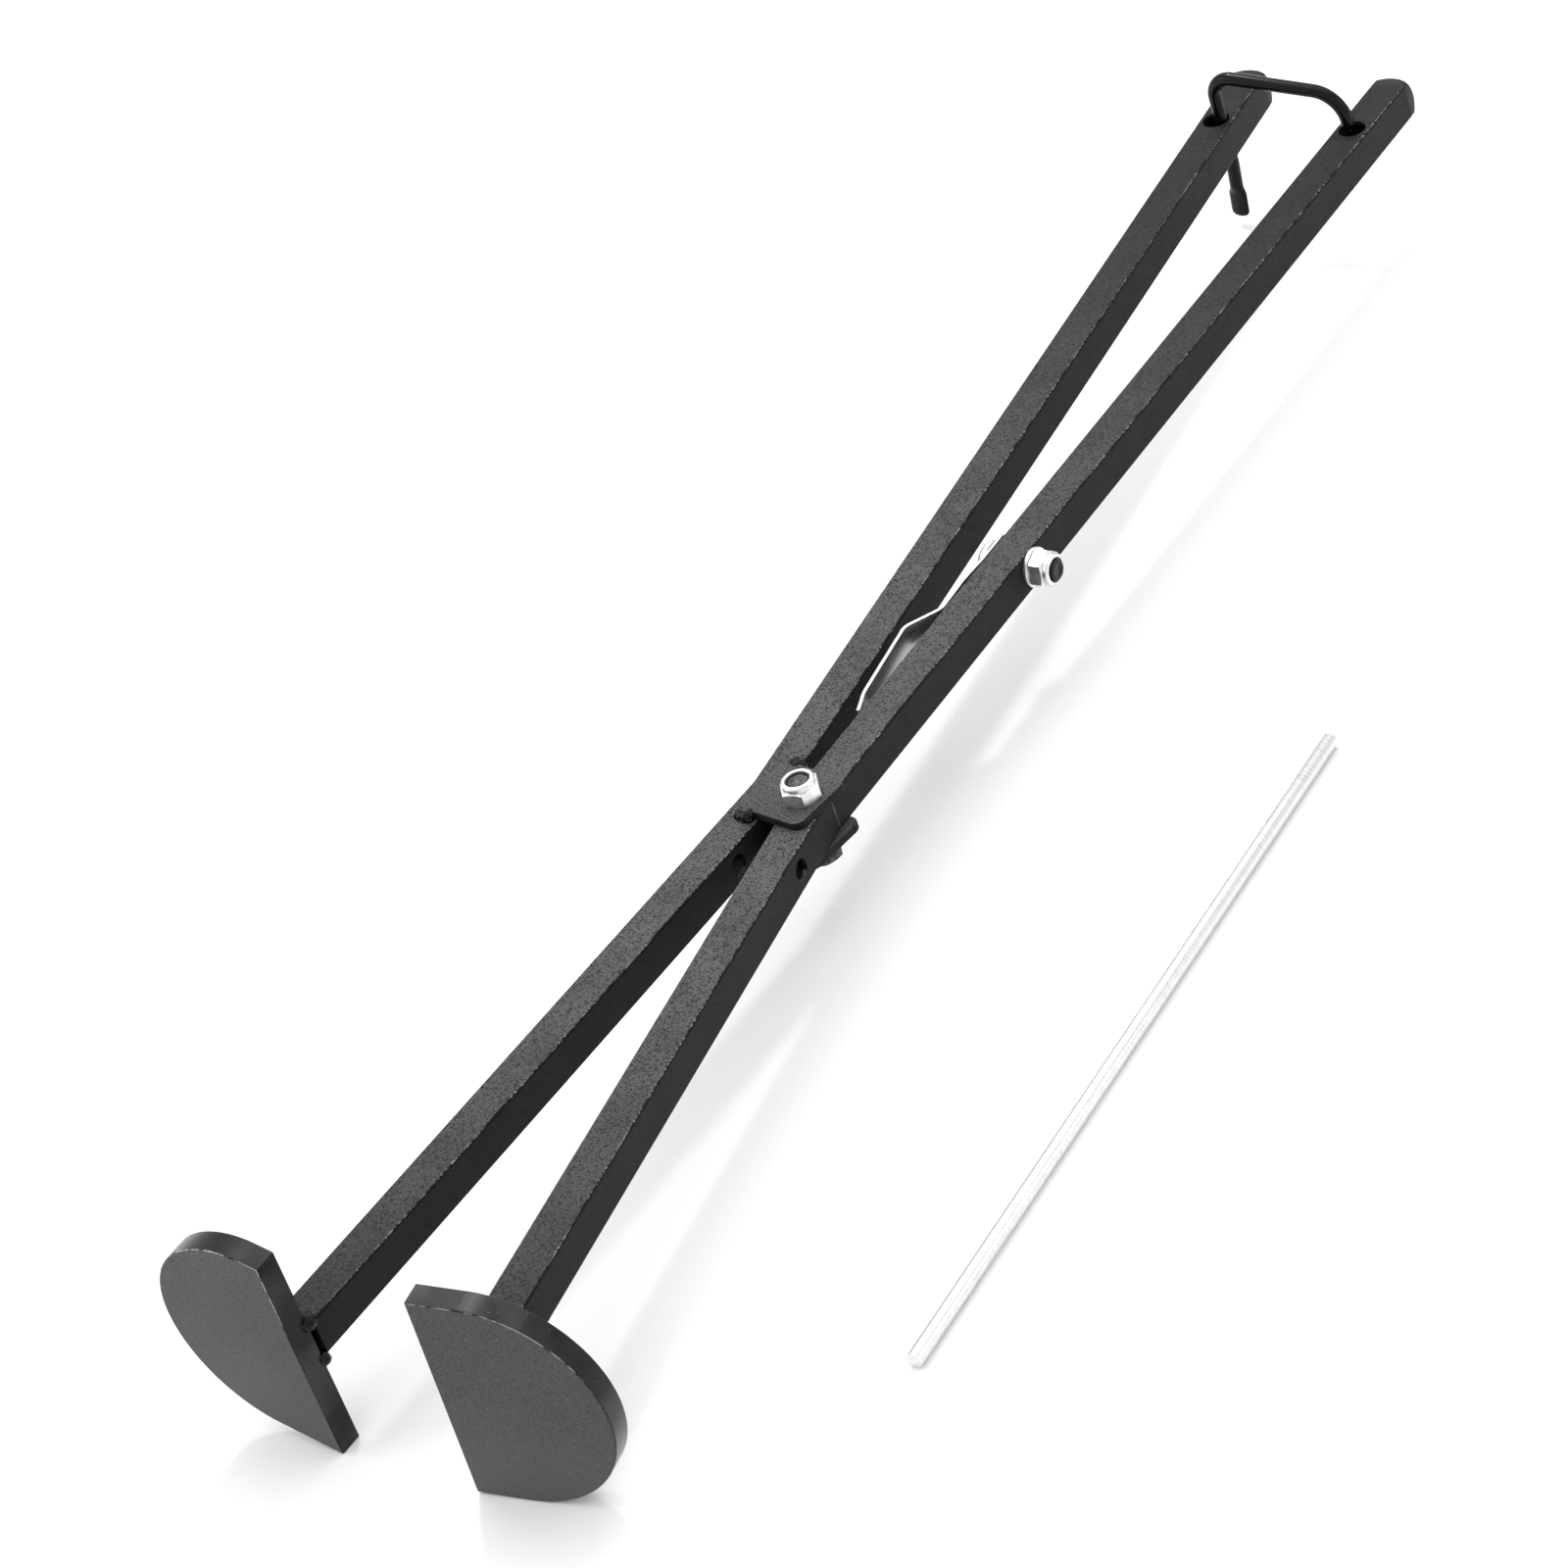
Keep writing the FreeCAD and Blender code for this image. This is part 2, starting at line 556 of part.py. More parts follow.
def draw_bail_route(sketch, span):
    """From the short leg's end, over the crown and down the long leg to its leaning tail."""
    lines = [((60, 8), (60, 15)), ((50, 27), (10, 27)), ((2, 18), (2, -11)), ((1, -15), (-2, -35))]
    arcs = [((50, 15), 10, 0, 90), ((10, 18), 9, 90, 180)]
    for (x0, y0), (x1, y1) in lines:
        sketch.addGeometry(Part.LineSegment(Vector(x0, y0, 0), Vector(x1, y1, 0)))
    for (x, y), radius, start, stop in arcs:
        circle = Part.Circle(Vector(x, y, 0), UP, radius)
        sketch.addGeometry(Part.ArcOfCircle(circle, math.radians(start), math.radians(stop)))
    lean = math.radians(val("tail_lean"))
    bend = val("tail_bend")
    centre = Vector(2 - bend, -11, 0)
    circle = Part.Circle(centre, UP, bend)
    sketch.addGeometry(Part.ArcOfCircle(circle, -lean, 0))
    link(sketch, "Tangent", 0, END, 4, START)
    link(sketch, "Tangent", 4, END, 1, START)
    link(sketch, "Tangent", 1, END, 5, START)
    link(sketch, "Tangent", 5, END, 2, START)
    link(sketch, "Tangent", 2, END, 6, END)
    link(sketch, "Tangent", 6, START, 3, START)
    link(sketch, "Vertical", 0)
    link(sketch, "Vertical", 2)
    top = "[bar_width] / 2"
    constrain(sketch, "span", "DistanceX", (ORIGIN, START, 0, START, 60.0),
              f"{span} - [short_leg_inset]")
    constrain(sketch, "inset", "DistanceX", (ORIGIN, START, 2, START, 2.0), "[long_leg_inset]")
    constrain(sketch, "short_end", "DistanceY", (ORIGIN, START, 0, START, 8.0),
              f"{top} + [short_leg_gap]")
    constrain(sketch, "crown", "DistanceY", (ORIGIN, START, 1, END, 27.0),
              f"{top} + [bail_height]")
    constrain(sketch, "crown_fall", "Angle", (1, math.pi), "180 - [crown_fall]")
    constrain(sketch, "short_bend", "Radius", (4, 10.0), "[short_leg_bend]")
    constrain(sketch, "long_bend", "Radius", (5, 9.0), "[long_leg_bend]")
    constrain(sketch, "tail_bend", "Radius", (6, bend), "[tail_bend]")
    constrain(sketch, "tail_start", "DistanceY", (2, END, ORIGIN, START, 11.0), "[tail_start]")
    constrain(sketch, "tail_lean", "Angle", (2, START, 3, END, lean), "180 - [tail_lean]")
    constrain(sketch, "tail_end", "DistanceY", (3, END, ORIGIN, START, 35.0),
              "[tail_end] - [spade_length] / 2")


def make_bail():
    place, span = bail_frame()
    body = new_body("locking_bail")
    route = new_sketch(body, "route", "XZ_Plane")
    draw_bail_route(route, span)
    doc.recompute()
    foot = at(span - val("short_leg_inset"), 0, HALF_BAR + val("short_leg_gap"))
    section = new_sketch(body, "section", offset=foot)
    section.addGeometry(Part.Circle(Vector(0, 0, 0), UP, 2.0))
    link(section, "Coincident", 0, CENTRE, ORIGIN, START)
    constrain(section, "wire", "Radius", (0, 2.0), "[wire_diameter] / 2")
    wire = body.newObject("PartDesign::AdditivePipe", "locking_bail_wire")
    wire.Profile = section
    wire.Spine = (route, [])
    doc.recompute()
    tail_end = route.getPoint(3, END)
    lean = Rotation(Vector(0, 1, 0), val("tail_lean"))
    reach = val("spade_length") / 2 / math.cos(math.radians(val("tail_lean")))
    tilt = val("spade_width") / 2 * math.sin(math.radians(val("tail_lean")))
    low = Vector(-val("spade_width") / 2, -val("spade_thick") / 2, -reach + tilt)
    corner = Vector(tail_end.x, 0, tail_end.y) + lean.multVec(low)
    primitive(body, "AdditiveBox", "spade", Placement(corner, lean), Length="[spade_width]",
              Width="[spade_thick]", Height="[spade_length]")
    body.Placement = place


def make_end_caps():
    """A plug in each open bar end, its head flush with the bar and domed by a sphere."""
    for side in ("left", "right"):
        label = f"{side}_end_cap"
        arm = f"{side}_upper_arm"
        blank = doc.addObject("PartDesign::Body", f"{label}_blank")
        head = new_sketch(blank, "head", "YZ_Plane")
        draw_rounded_square(head, "head", "[bar_width]", "[bar_corner]")
        pad(blank, head, "rise", "[cap_rise]")
        stem = new_sketch(blank, "stem", "YZ_Plane")
        bind(stem, "AttachmentOffset.Base.z", "-[cap_stem]")
        inside = "[bar_width] - 2 * [bar_wall] - 2 * [cap_clearance]"
        draw_rounded_square(stem, "stem", inside, "[bar_corner] / 2")
        pad(blank, stem, "plug", "[cap_stem]")
        ball = doc.addObject("Part::Sphere", f"{label}_ball")
        # the sphere meets the head's corners at the bar's end
        half_diagonal = "[bar_width] * 0.5 * sqrt(2)"
        ball_radius = f"(({half_diagonal})^2 + [cap_rise]^2) / (2 * [cap_rise])"
        bind(ball, "Radius", ball_radius)
        bind(ball, "Placement.Base.x", f"[cap_rise] - {ball_radius}")
        cap = doc.addObject("Part::Common", label)
        cap.Base = blank
        cap.Tool = ball
        cap.Label = label
        cap.Placement = at(*along(arm, val("upper_length")), about_z(HEADING[arm]))
        NODES.append(cap)


def make_cross_rod():
    """The loose rod, lying beside the tool on the surface that the plates stand on."""
    body = new_body("cross_rod")
    stock = primitive(body, "AdditiveCylinder", "stock", at(), Radius="[rod_diameter] / 2",
                      Height="[rod_length]")
    doc.recompute()
    rims = [f"Edge{index}" for index, edge in enumerate(stock.Shape.Edges, start=1)
            if isinstance(edge.Curve, Part.Circle)]
    ends = body.newObject("PartDesign::Chamfer", "cross_rod_ends")
    ends.Base = (stock, rims)
    bind(ends, "Size", "[rod_chamfer]")
    turn = about_z(90 - val("rod_turn")).multiply(Rotation(Vector(0, 1, 0), 90))
    ground = min(plate.Shape.optimalBoundingBox(False).ZMin
                 for plate in NODES if plate.Label.endswith("_plate"))
    height = ground + val("rod_diameter") / 2
    middle = Vector(val("rod_beside"), -val("rod_down"), height)
    body.Placement = Placement(middle - turn.multVec(UP) * (val("rod_length") / 2), turn)


def check(items):
    """Stop if a feature failed or a sub-part is not one sound shape."""
    doc.recompute()
    for item in doc.Objects:
        if "Invalid" in item.State or "Error" in item.State:
            raise RuntimeError(f"{item.Label} failed: {item.State}")
    for item in items:
        shape = item.Shape
        if shape.isNull() or not shape.isValid() or shape.Volume <= 0:
            raise RuntimeError(f"{item.Label} has no sound shape")


def move_origin(items):
    """Put the frame's origin at the middle of the whole tool's underside."""
    whole = FreeCAD.BoundBox()
    for item in items:
        whole.add(item.Shape.optimalBoundingBox(False))
    middle = whole.Center
    shift = Vector(-middle.x, -middle.y, -whole.ZMin)
    for item in items:
        item.Placement = Placement(shift, Rotation()).multiply(item.Placement)
    doc.recompute()
    return shift


def report(items, shift):
    """Print what joins and mounts need: places in this frame, in millimetres."""
    bail_place, span = bail_frame()
    leg = bail_place.multVec(Vector(val("long_leg_inset"), 0, 0))
    print("pivot", tuple(PIVOT + shift))
    print("bail leg", tuple(leg + shift))
    print("bail span", span)
    # the clear space under the crown, between the legs, as two corners of an upright box
    wire = val("wire_diameter")
    fall = span * math.tan(math.radians(val("crown_fall")))
    crown = HALF_BAR + val("bail_height") - fall
    low = Vector(val("long_leg_inset") + wire, -wire, HALF_BAR + val("short_leg_gap"))
    high = Vector(span - val("short_leg_inset") - wire, wire, crown - wire)
    print("bail gap", tuple(bail_place.multVec(low) + shift), tuple(bail_place.multVec(high) + shift))
    for side in ("left", "right"):
        extra = val("bend_stagger") if side == "left" else 0.0
        outer_side = -1 if side == "left" else 1
        arm = f"{side}_lower_arm"
        turn = about_z(HEADING[arm])
        print(side, "rod hole", tuple(along(arm, val("rod_hole_at") + extra) + shift),
              "axis", tuple(turn.multVec(Vector(0, outer_side, 0))))
        face = plate_frame(side, val("lower_reach"))
        middle = face.multVec(Vector(val("left_plate_straight"), 0, 0))
        print(side, "plate face", tuple(middle + shift), "axis", tuple(turn.multVec(Vector(1, 0, 0))))
    for item in items:
        shape = item.Shape
        print(f"{item.Label:26s} solids {len(shape.Solids)}  volume {shape.Volume:10.1f} mm3")


def main():
    make_arms()
    make_bend_welds()
    make_plates()
    make_plate_welds()
    make_tabs()
    make_tab_welds()
    make_pivot_fasteners()
    make_leaf_spring()
    make_spring_fasteners()
    make_bail()
    make_end_caps()
    make_cross_rod()
    check(NODES)
    shift = move_origin(NODES)
    check(NODES)
    report(NODES, shift)
    os.makedirs("parts", exist_ok=True)
    for item in NODES:
        item.Shape.exportStep(f"parts/{item.Label}.step")


main()
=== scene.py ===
"""Looks of a hand-squeezed spreading tool: powder-coated bars, D plates, welds, lock nuts, a leaf
spring, a wire bail and a bright cross rod."""
import json
import math
import random
from contextlib import contextmanager

import bmesh
import bpy
from mathutils import Matrix, Vector


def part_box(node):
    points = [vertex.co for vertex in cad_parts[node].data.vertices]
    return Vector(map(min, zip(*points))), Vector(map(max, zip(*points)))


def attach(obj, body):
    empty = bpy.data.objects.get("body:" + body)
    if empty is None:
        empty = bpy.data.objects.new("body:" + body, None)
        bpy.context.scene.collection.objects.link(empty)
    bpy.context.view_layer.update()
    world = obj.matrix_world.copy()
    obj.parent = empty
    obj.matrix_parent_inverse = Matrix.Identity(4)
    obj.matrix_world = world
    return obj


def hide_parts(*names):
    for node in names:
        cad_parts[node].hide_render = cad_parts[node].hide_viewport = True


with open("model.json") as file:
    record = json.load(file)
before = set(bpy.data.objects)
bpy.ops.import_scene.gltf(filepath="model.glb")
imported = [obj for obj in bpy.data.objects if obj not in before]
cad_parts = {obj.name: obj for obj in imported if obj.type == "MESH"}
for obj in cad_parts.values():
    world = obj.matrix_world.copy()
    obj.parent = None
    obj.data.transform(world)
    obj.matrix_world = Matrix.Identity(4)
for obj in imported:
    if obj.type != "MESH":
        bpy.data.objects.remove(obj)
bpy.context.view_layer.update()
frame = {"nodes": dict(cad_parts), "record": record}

MM = 0.001
UP = Vector((0, 0, 1))
RECORD = frame["record"]
MOUNTS = {mount["name"]: mount for mount in RECORD["mounts"]}

# driving sizes, in metres
BAR = 15 * MM
HALF_BAR = BAR / 2
BAR_CORNER = 1.2 * MM
HANDLE_LEAN = math.radians(3.0)
PIVOT_DROP = 4.9 * MM
BEND_GAP = 3.36 * MM
BEND_STAGGER = 3.45 * MM
TAB_THICK = 3 * MM
TAB_LENGTH = 27 * MM
TAB_WIDTH = 30 * MM
TAB_MARGIN = 9.2 * MM
TAB_TURN = math.radians(12.1)
TAB_CORNER = 4 * MM
PLATE_THICK = 9 * MM
BOLT = 8 * MM
BOLT_TIP = 0.9 * MM
HEX_FLATS = 13 * MM
NUT_TURN = math.radians(36)
ROD_LEAN = math.radians(1.04)
SPRING_BOLT_AT = 141.8 * MM
SPRING_THICK = 1.5 * MM
WASHER_RADIUS = 7.5 * MM
WASHER_THICK = 1.6 * MM
CUP_RADIUS = 8 * MM
CUP_HEIGHT = 4 * MM
HANDLE_LENGTH = 450 * MM
BAIL_HOLE_AT = 418 * MM
WIRE = 5.5 * MM
ROD_LENGTH = 310 * MM

# how far a corner may lie from a level and still count as on it
ON_LEVEL = 1e-6


def place_of(mount):
    return Vector(MOUNTS[mount]["pos_m"])


def heading_of(mount):
    return Vector(MOUNTS[mount]["axis"]).normalized()


def joint_place(name):
    return Vector(next(j["pos_m"] for j in RECORD["behaviour"]["joints"] if j["name"] == name))


# layout: the pivot, the lower bars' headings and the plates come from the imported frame, and the
# rest is worked out from the driving sizes
PIVOT = joint_place("pivot")
MIDDLE = PIVOT.z
LEFT_LOWER = heading_of("left_plate_face")
RIGHT_LOWER = heading_of("right_plate_face")
LEFT_UPPER = Vector((-math.sin(HANDLE_LEAN), math.cos(HANDLE_LEAN), 0))
RIGHT_UPPER = Vector((math.sin(HANDLE_LEAN), math.cos(HANDLE_LEAN), 0))
RIGHT_BEND = PIVOT - RIGHT_LOWER * PIVOT_DROP
LEFT_BEND = RIGHT_BEND + Vector((-BAR - BEND_GAP, BEND_STAGGER, 0))
TAB_TOP = MIDDLE + HALF_BAR + TAB_THICK
TAB_UNDERSIDE = MIDDLE - HALF_BAR - TAB_THICK


# ---------------------------------------------------------------- shader sums

class Wire:
    """An output socket that takes part in ordinary sums."""

    def __init__(self, finish, socket):
        self.finish = finish
        self.socket = socket

    def sum(self, operation, first, second):
        return self.finish.node("ShaderNodeMath", {"operation": operation}, {0: first, 1: second})

    def __add__(self, other):
        return self.sum("ADD", self, other)

    def __radd__(self, other):
        return self.sum("ADD", other, self)

    def __sub__(self, other):
        return self.sum("SUBTRACT", self, other)

    def __rsub__(self, other):
        return self.sum("SUBTRACT", other, self)

    def __mul__(self, other):
        return self.sum("MULTIPLY", self, other)

    def __rmul__(self, other):
        return self.sum("MULTIPLY", other, self)

    def rise(self, low, high):
        """0 below low, 1 above high, smooth between; low may be the larger one."""
        return self.finish.node("ShaderNodeMapRange", {"interpolation_type": "SMOOTHSTEP"},
                                {0: self, 1: low, 2: high, 3: 0.0, 4: 1.0})


class Finish:
    """A material under construction; node() makes every node but the last, which has no output."""

    def __init__(self, name):
        self.material = bpy.data.materials.new(name)
        self.material.use_nodes = True
        self.tree = self.material.node_tree
        self.tree.nodes.clear()

    def node(self, kind, settings=None, sockets=None, out=0):
        made = self.tree.nodes.new(kind)
        for key, setting in (settings or {}).items():
            setattr(made, key, setting)
        for key, value in (sockets or {}).items():
            if isinstance(value, Wire):
                self.tree.links.new(value.socket, made.inputs[key])
            else:
                made.inputs[key].default_value = value
        return Wire(self, made.outputs[out])

    def place(self):
        """Object coordinates, in metres."""
        return self.node("ShaderNodeTexCoord", out=3)

    def shifted(self, origin, turn_z):
        """Object coordinates seen from origin, with x along the direction turn_z."""
        moved = self.node("ShaderNodeVectorMath", {"operation": "SUBTRACT"},
                          {0: self.place(), 1: tuple(origin)})
        return self.node("ShaderNodeVectorRotate", {"rotation_type": "Z_AXIS"},
                         {0: moved, "Angle": -turn_z})

    def parts(self, vector):
        """The x, y and z of a vector."""
        split = self.node("ShaderNodeSeparateXYZ", None, {0: vector})
        return [Wire(self, output) for output in split.socket.node.outputs]

    def facing(self):
        """The direction that the surface faces."""
        return self.node("ShaderNodeNewGeometry", out=1)

    def noise(self, scale, detail=2.0, roughness=0.5, at=None):
        """Soft random patches, from 0 to 1; a higher scale makes them smaller."""
        return self.node("ShaderNodeTexNoise", None,
                         {"Vector": at or self.place(), "Scale": scale, "Detail": detail,
                          "Roughness": roughness})

    def stretched_noise(self, scales, detail, at):
        """Noise with its own scale along each axis, as for drawn lines and turned rings."""
        spread = self.node("ShaderNodeVectorMath", {"operation": "MULTIPLY"},
                           {0: at, 1: scales})
        return self.noise(1.0, detail, at=spread)

    def mix(self, mask, first, second):
        """A colour between first, where mask is 0, and second, where it is 1."""
        return self.node("ShaderNodeMix", {"data_type": "RGBA"},
                         {0: mask, 6: first, 7: second}, out=2)

    def bump(self, height, distance, strength):
        return self.node("ShaderNodeBump", None,
                         {"Height": height, "Distance": distance, "Strength": strength})

    def done(self, **sockets):
        """Close the material with one shader; a socket is named with _ for each space."""
        shader = self.node("ShaderNodeBsdfPrincipled", None,
                           {key.replace("_", " "): value for key, value in sockets.items()})
        end = self.tree.nodes.new("ShaderNodeOutputMaterial")
        self.tree.links.new(shader.socket, end.inputs["Surface"])
        return self.material


def grey(level, warm=0.0):
    """A grey of this brightness, tinted towards red where warm is above 0."""
    return (level * (1 + warm), level, level * (1 - warm), 1.0)


# ---------------------------------------------------------------- finishes

def bar_frame(finish, bend, heading):
    """Distances along, across and above a bar's middle line."""
    turn = math.atan2(heading.y, heading.x)
    return finish.parts(finish.shifted(bend, turn))


def grain_of(finish):
    """The wrinkle of the powder coat: 1 on the flats, falling to 0 in the pits between them."""
    pits = finish.noise(1450, 3.0, 0.75).rise(0.37, 0.52)
    fine = finish.noise(2600, 2.0, 0.7).rise(0.30, 0.65)
    return pits * 0.5 + pits * fine * 0.5


def powder_coat(name, bend=None, heading=None):
    """Black wrinkle-grain powder coat with painted light: upward faces lighter than the others; on a
    bar, a painted shade line along its long edges with painted highlight specks above it.
    """
    finish = Finish(name)
    grain = grain_of(finish)
    cloud = finish.noise(45, 3.0)
    tilt = finish.parts(finish.facing())[2]
    upward = tilt.rise(0.75, 0.95)
    # painted light: the faces that look up get a lit, lighter copy of the coat and the other faces a
    # shaded, darker copy
    side = finish.mix(grain, grey(0.004), grey(0.011))
    lit_top_colour = finish.mix(grain, grey(0.002), grey(0.130))
    colour = finish.mix(upward, side, lit_top_colour)
    colour = finish.mix(cloud.rise(0.35, 0.75) * 0.3, colour, grey(0.016))
    rough = 0.62 - grain * 0.12
    if heading is not None:
        along = bar_frame(finish, bend, heading)[0]
        # the coat's tone is more even and darker on upward faces towards a bar's far end, which fades
        # the painted top light there
        far_top_dimming = along.rise(60 * MM, 380 * MM) * upward
        colour = finish.mix(far_top_dimming * 0.88, colour, grey(0.012))
        # painted shade: a near-black line on the rounded long edges, picked by the way they face
        rounding = tilt.rise(0.10, 0.25) * tilt.rise(0.92, 0.80)
        # painted highlight: bright specks in streaks on the upper half of the rounded long edges
        upper_half = tilt.rise(0.55, 0.70) * tilt.rise(0.97, 0.90)
        edge_glint_specks = finish.noise(900, 3.0, 0.75).rise(0.46, 0.60)
        stretch = finish.noise(60, 2.0).rise(0.35, 0.6)
        colour = finish.mix(rounding * 0.9, colour, grey(0.001))
        colour = finish.mix(upper_half * edge_glint_specks * stretch * 0.8, colour, grey(0.30, 0.02))
    dust = finish.noise(650, 2.0, 0.75).rise(0.70, 0.76)
    colour = finish.mix(dust * upward * 0.5, colour, grey(0.26))
    return finish.done(Base_Color=colour, Roughness=rough, Specular_IOR_Level=0.13,
                       Normal=finish.bump(grain, 0.2 * MM, 0.7))


def plate_coat(name, mount):
    """Satin black coat with a fine grain, rubbed bright along part of the plate's outer rim; painted
    light makes the front face lighter than the rim and lighter towards its bottom.
    """
    finish = Finish(name)
    above = finish.parts(finish.place())[2] - place_of(mount).z
    frontal = finish.node("ShaderNodeVectorMath", {"operation": "DOT_PRODUCT"},
                          {0: finish.facing(), 1: tuple(heading_of(mount))}, out=1)
    front = frontal.rise(0.75, 0.97)
    rounding = frontal.rise(0.25, 0.45) * frontal.rise(0.93, 0.80)
    worn = finish.noise(240, 4.0, 0.7).rise(0.40, 0.56)
    wear = rounding * worn * above.rise(6 * MM, 26 * MM)
    grain = finish.noise(1900, 2.0, 0.6)
    cloud = finish.noise(45, 3.0, 0.6)
    # painted light: the front face grows lighter towards the plate's bottom
    low = above.rise(10 * MM, -45 * MM)
    lit_face_colour = finish.mix(grain.rise(0.3, 0.7), grey(0.028), grey(0.075))
    lit_face_colour = finish.mix(low * 0.5, lit_face_colour, grey(0.095))
    # painted light: the rim gets a shaded, near-black copy of the coat and the front face a lit,
    # lighter one
    edge = finish.mix(cloud.rise(0.35, 0.65), grey(0.002), grey(0.010))
    colour = finish.mix(front, edge, lit_face_colour)
    dust = finish.noise(520, 2.0, 0.8).rise(0.70, 0.78)
    colour = finish.mix(dust * 0.35, colour, grey(0.24))
    colour = finish.mix(wear * 0.7, colour, grey(0.36, 0.02))
    rough = 0.20 + front * 0.22 + cloud * 0.16 - wear * 0.1
    bands = finish.noise(38, 2.0).rise(0.45, 0.62)
    gloss = (1.0 - front) * bands * 0.32
    return finish.done(Base_Color=colour, Roughness=rough, Metallic=wear * 0.8,
                       Coat_Weight=gloss, Specular_IOR_Level=0.2,
                       Normal=finish.bump(grain, 0.06 * MM, 0.5))


def weld_coat():
    """Gloss black over rippled weld metal."""
    finish = Finish("weld_coat")
    lumps = finish.noise(520, 3.0, 0.55)
    fine = finish.noise(2400, 2.0)
    colour = finish.mix(lumps.rise(0.4, 0.7), grey(0.001), grey(0.007))
    return finish.done(Base_Color=colour, Roughness=0.06 + fine * 0.16, Specular_IOR_Level=0.2,
                       Normal=finish.bump(lumps + fine * 0.15, 0.35 * MM, 0.6))


def ground_seam():
    """A weld ground flush with the bar and coated with it."""
    finish = Finish("ground_seam")
    grain = grain_of(finish)
    colour = finish.mix(grain, grey(0.004), grey(0.022))
    return finish.done(Base_Color=colour, Roughness=0.5 - grain * 0.08,
                       Normal=finish.bump(grain, 0.12 * MM, 0.6))


def bright_zinc(finish):
    """The haze of bright zinc, its small handling marks, and its colour."""
    haze = finish.noise(260, 3.0, 0.6)
    marks = finish.noise(1500, 2.0, 0.7)
    return haze, marks, finish.mix(haze.rise(0.35, 0.7), grey(0.66, -0.01), grey(0.84, 0.01))


def zinc_plate():
    """Bright zinc with a faint haze and small handling marks."""
    finish = Finish("zinc_plate")
    haze, marks, colour = bright_zinc(finish)
    colour = finish.mix(marks.rise(0.62, 0.75) * 0.5, colour, grey(0.45))
    return finish.done(Base_Color=colour, Metallic=1.0, Roughness=0.22 + haze * 0.2 + marks * 0.08,
                       Normal=finish.bump(marks, 0.03 * MM, 0.35))


def nylon():
    """Dark nylon of the lock nuts' rings."""
    finish = Finish("nylon_ring")
    cloud = finish.noise(900, 2.0)
    colour = finish.mix(cloud, grey(0.020), grey(0.045))
    return finish.done(Base_Color=colour, Roughness=0.45 + cloud * 0.1,
                       Normal=finish.bump(cloud, 0.03 * MM, 0.4))


def dark_steel():
    """Oiled black steel of the pivot bolt, cloudy where the oil is thin."""
    finish = Finish("dark_bolt_steel")
    cloud = finish.noise(700, 3.0, 0.6)
    colour = finish.mix(cloud.rise(0.35, 0.7), grey(0.02), grey(0.10, 0.02))
    return finish.done(Base_Color=colour, Metallic=0.85, Roughness=0.32 + cloud * 0.25,
                       Normal=finish.bump(cloud, 0.05 * MM, 0.5))


def cup_bolt_steel():
    """Bright zinc on the round head, near-black on the threaded end."""
    finish = Finish("cup_bolt_steel")
    across = bar_frame(finish, RIGHT_BEND, RIGHT_UPPER)[1]
    haze, marks, zinc = bright_zinc(finish)
    dark_end_colour = finish.mix(haze, grey(0.010), grey(0.035))
    colour = finish.mix(across.rise(-HALF_BAR, 0.0), dark_end_colour, zinc)
    return finish.done(Base_Color=colour, Metallic=0.9, Roughness=0.26 + haze * 0.2,
                       Normal=finish.bump(marks, 0.03 * MM, 0.35))


def spring_steel():
    """Bright rolled strip with drawn lines along it."""
    finish = Finish("spring_strip_steel")
    turn = math.atan2(RIGHT_UPPER.y, RIGHT_UPPER.x)
    seen = finish.shifted(RIGHT_BEND, turn)
    lines = finish.stretched_noise((90, 900, 3800), 3.0, at=seen)
    cloud = finish.noise(120, 3.0)
    colour = finish.mix(lines.rise(0.3, 0.7), grey(0.50), grey(0.74, 0.01))
    colour = finish.mix(cloud.rise(0.45, 0.75) * 0.4, colour, grey(0.38, 0.02))
    return finish.done(Base_Color=colour, Metallic=1.0, Roughness=0.26 + lines * 0.16,
                       Normal=finish.bump(lines, 0.02 * MM, 0.4))


def rod_steel():
    """Ground bright rod: fine rings round it and a few long scuffs."""
    finish = Finish("ground_rod_steel")
    corner = Vector(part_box("cross_rod")[0])
    seen = finish.shifted(corner, math.radians(90) - ROD_LEAN)
    rings = finish.stretched_noise((4200, 160, 160), 2.0, at=seen)
    scuffs = finish.stretched_noise((60, 1100, 1100), 3.0, at=seen)
    colour = finish.mix(rings.rise(0.3, 0.7), grey(0.62), grey(0.80))
    colour = finish.mix(scuffs.rise(0.60, 0.75) * 0.5, colour, grey(0.42, 0.01))
    return finish.done(Base_Color=colour, Metallic=1.0, Roughness=0.17 + scuffs * 0.2,
                       Normal=finish.bump(rings, 0.008 * MM, 0.35))


def bail_coat():
    """Satin black on drawn wire, a little paler in patches."""
    finish = Finish("bail_coat")
    grain = finish.noise(1700, 2.0, 0.6)
    cloud = finish.noise(150, 3.0)
    colour = finish.mix(grain.rise(0.35, 0.7), grey(0.001), grey(0.003))
    colour = finish.mix(cloud.rise(0.55, 0.75) * 0.4, colour, grey(0.008))
    return finish.done(Base_Color=colour, Roughness=0.15 + cloud * 0.10, Specular_IOR_Level=0.16,
                       Normal=finish.bump(grain, 0.04 * MM, 0.4))


def cap_plastic():
    """Moulded black plastic with a fine spark texture."""
    finish = Finish("cap_plastic")
    grain = finish.noise(3000, 2.0, 0.6)
    cloud = finish.noise(220, 3.0)
    colour = finish.mix(grain.rise(0.3, 0.7), grey(0.010), grey(0.026))
    colour = finish.mix(cloud.rise(0.5, 0.7) * 0.3, colour, grey(0.040))
    return finish.done(Base_Color=colour, Roughness=0.48 + cloud * 0.12, Specular_IOR_Level=0.2,
                       Normal=finish.bump(grain, 0.05 * MM, 0.5))


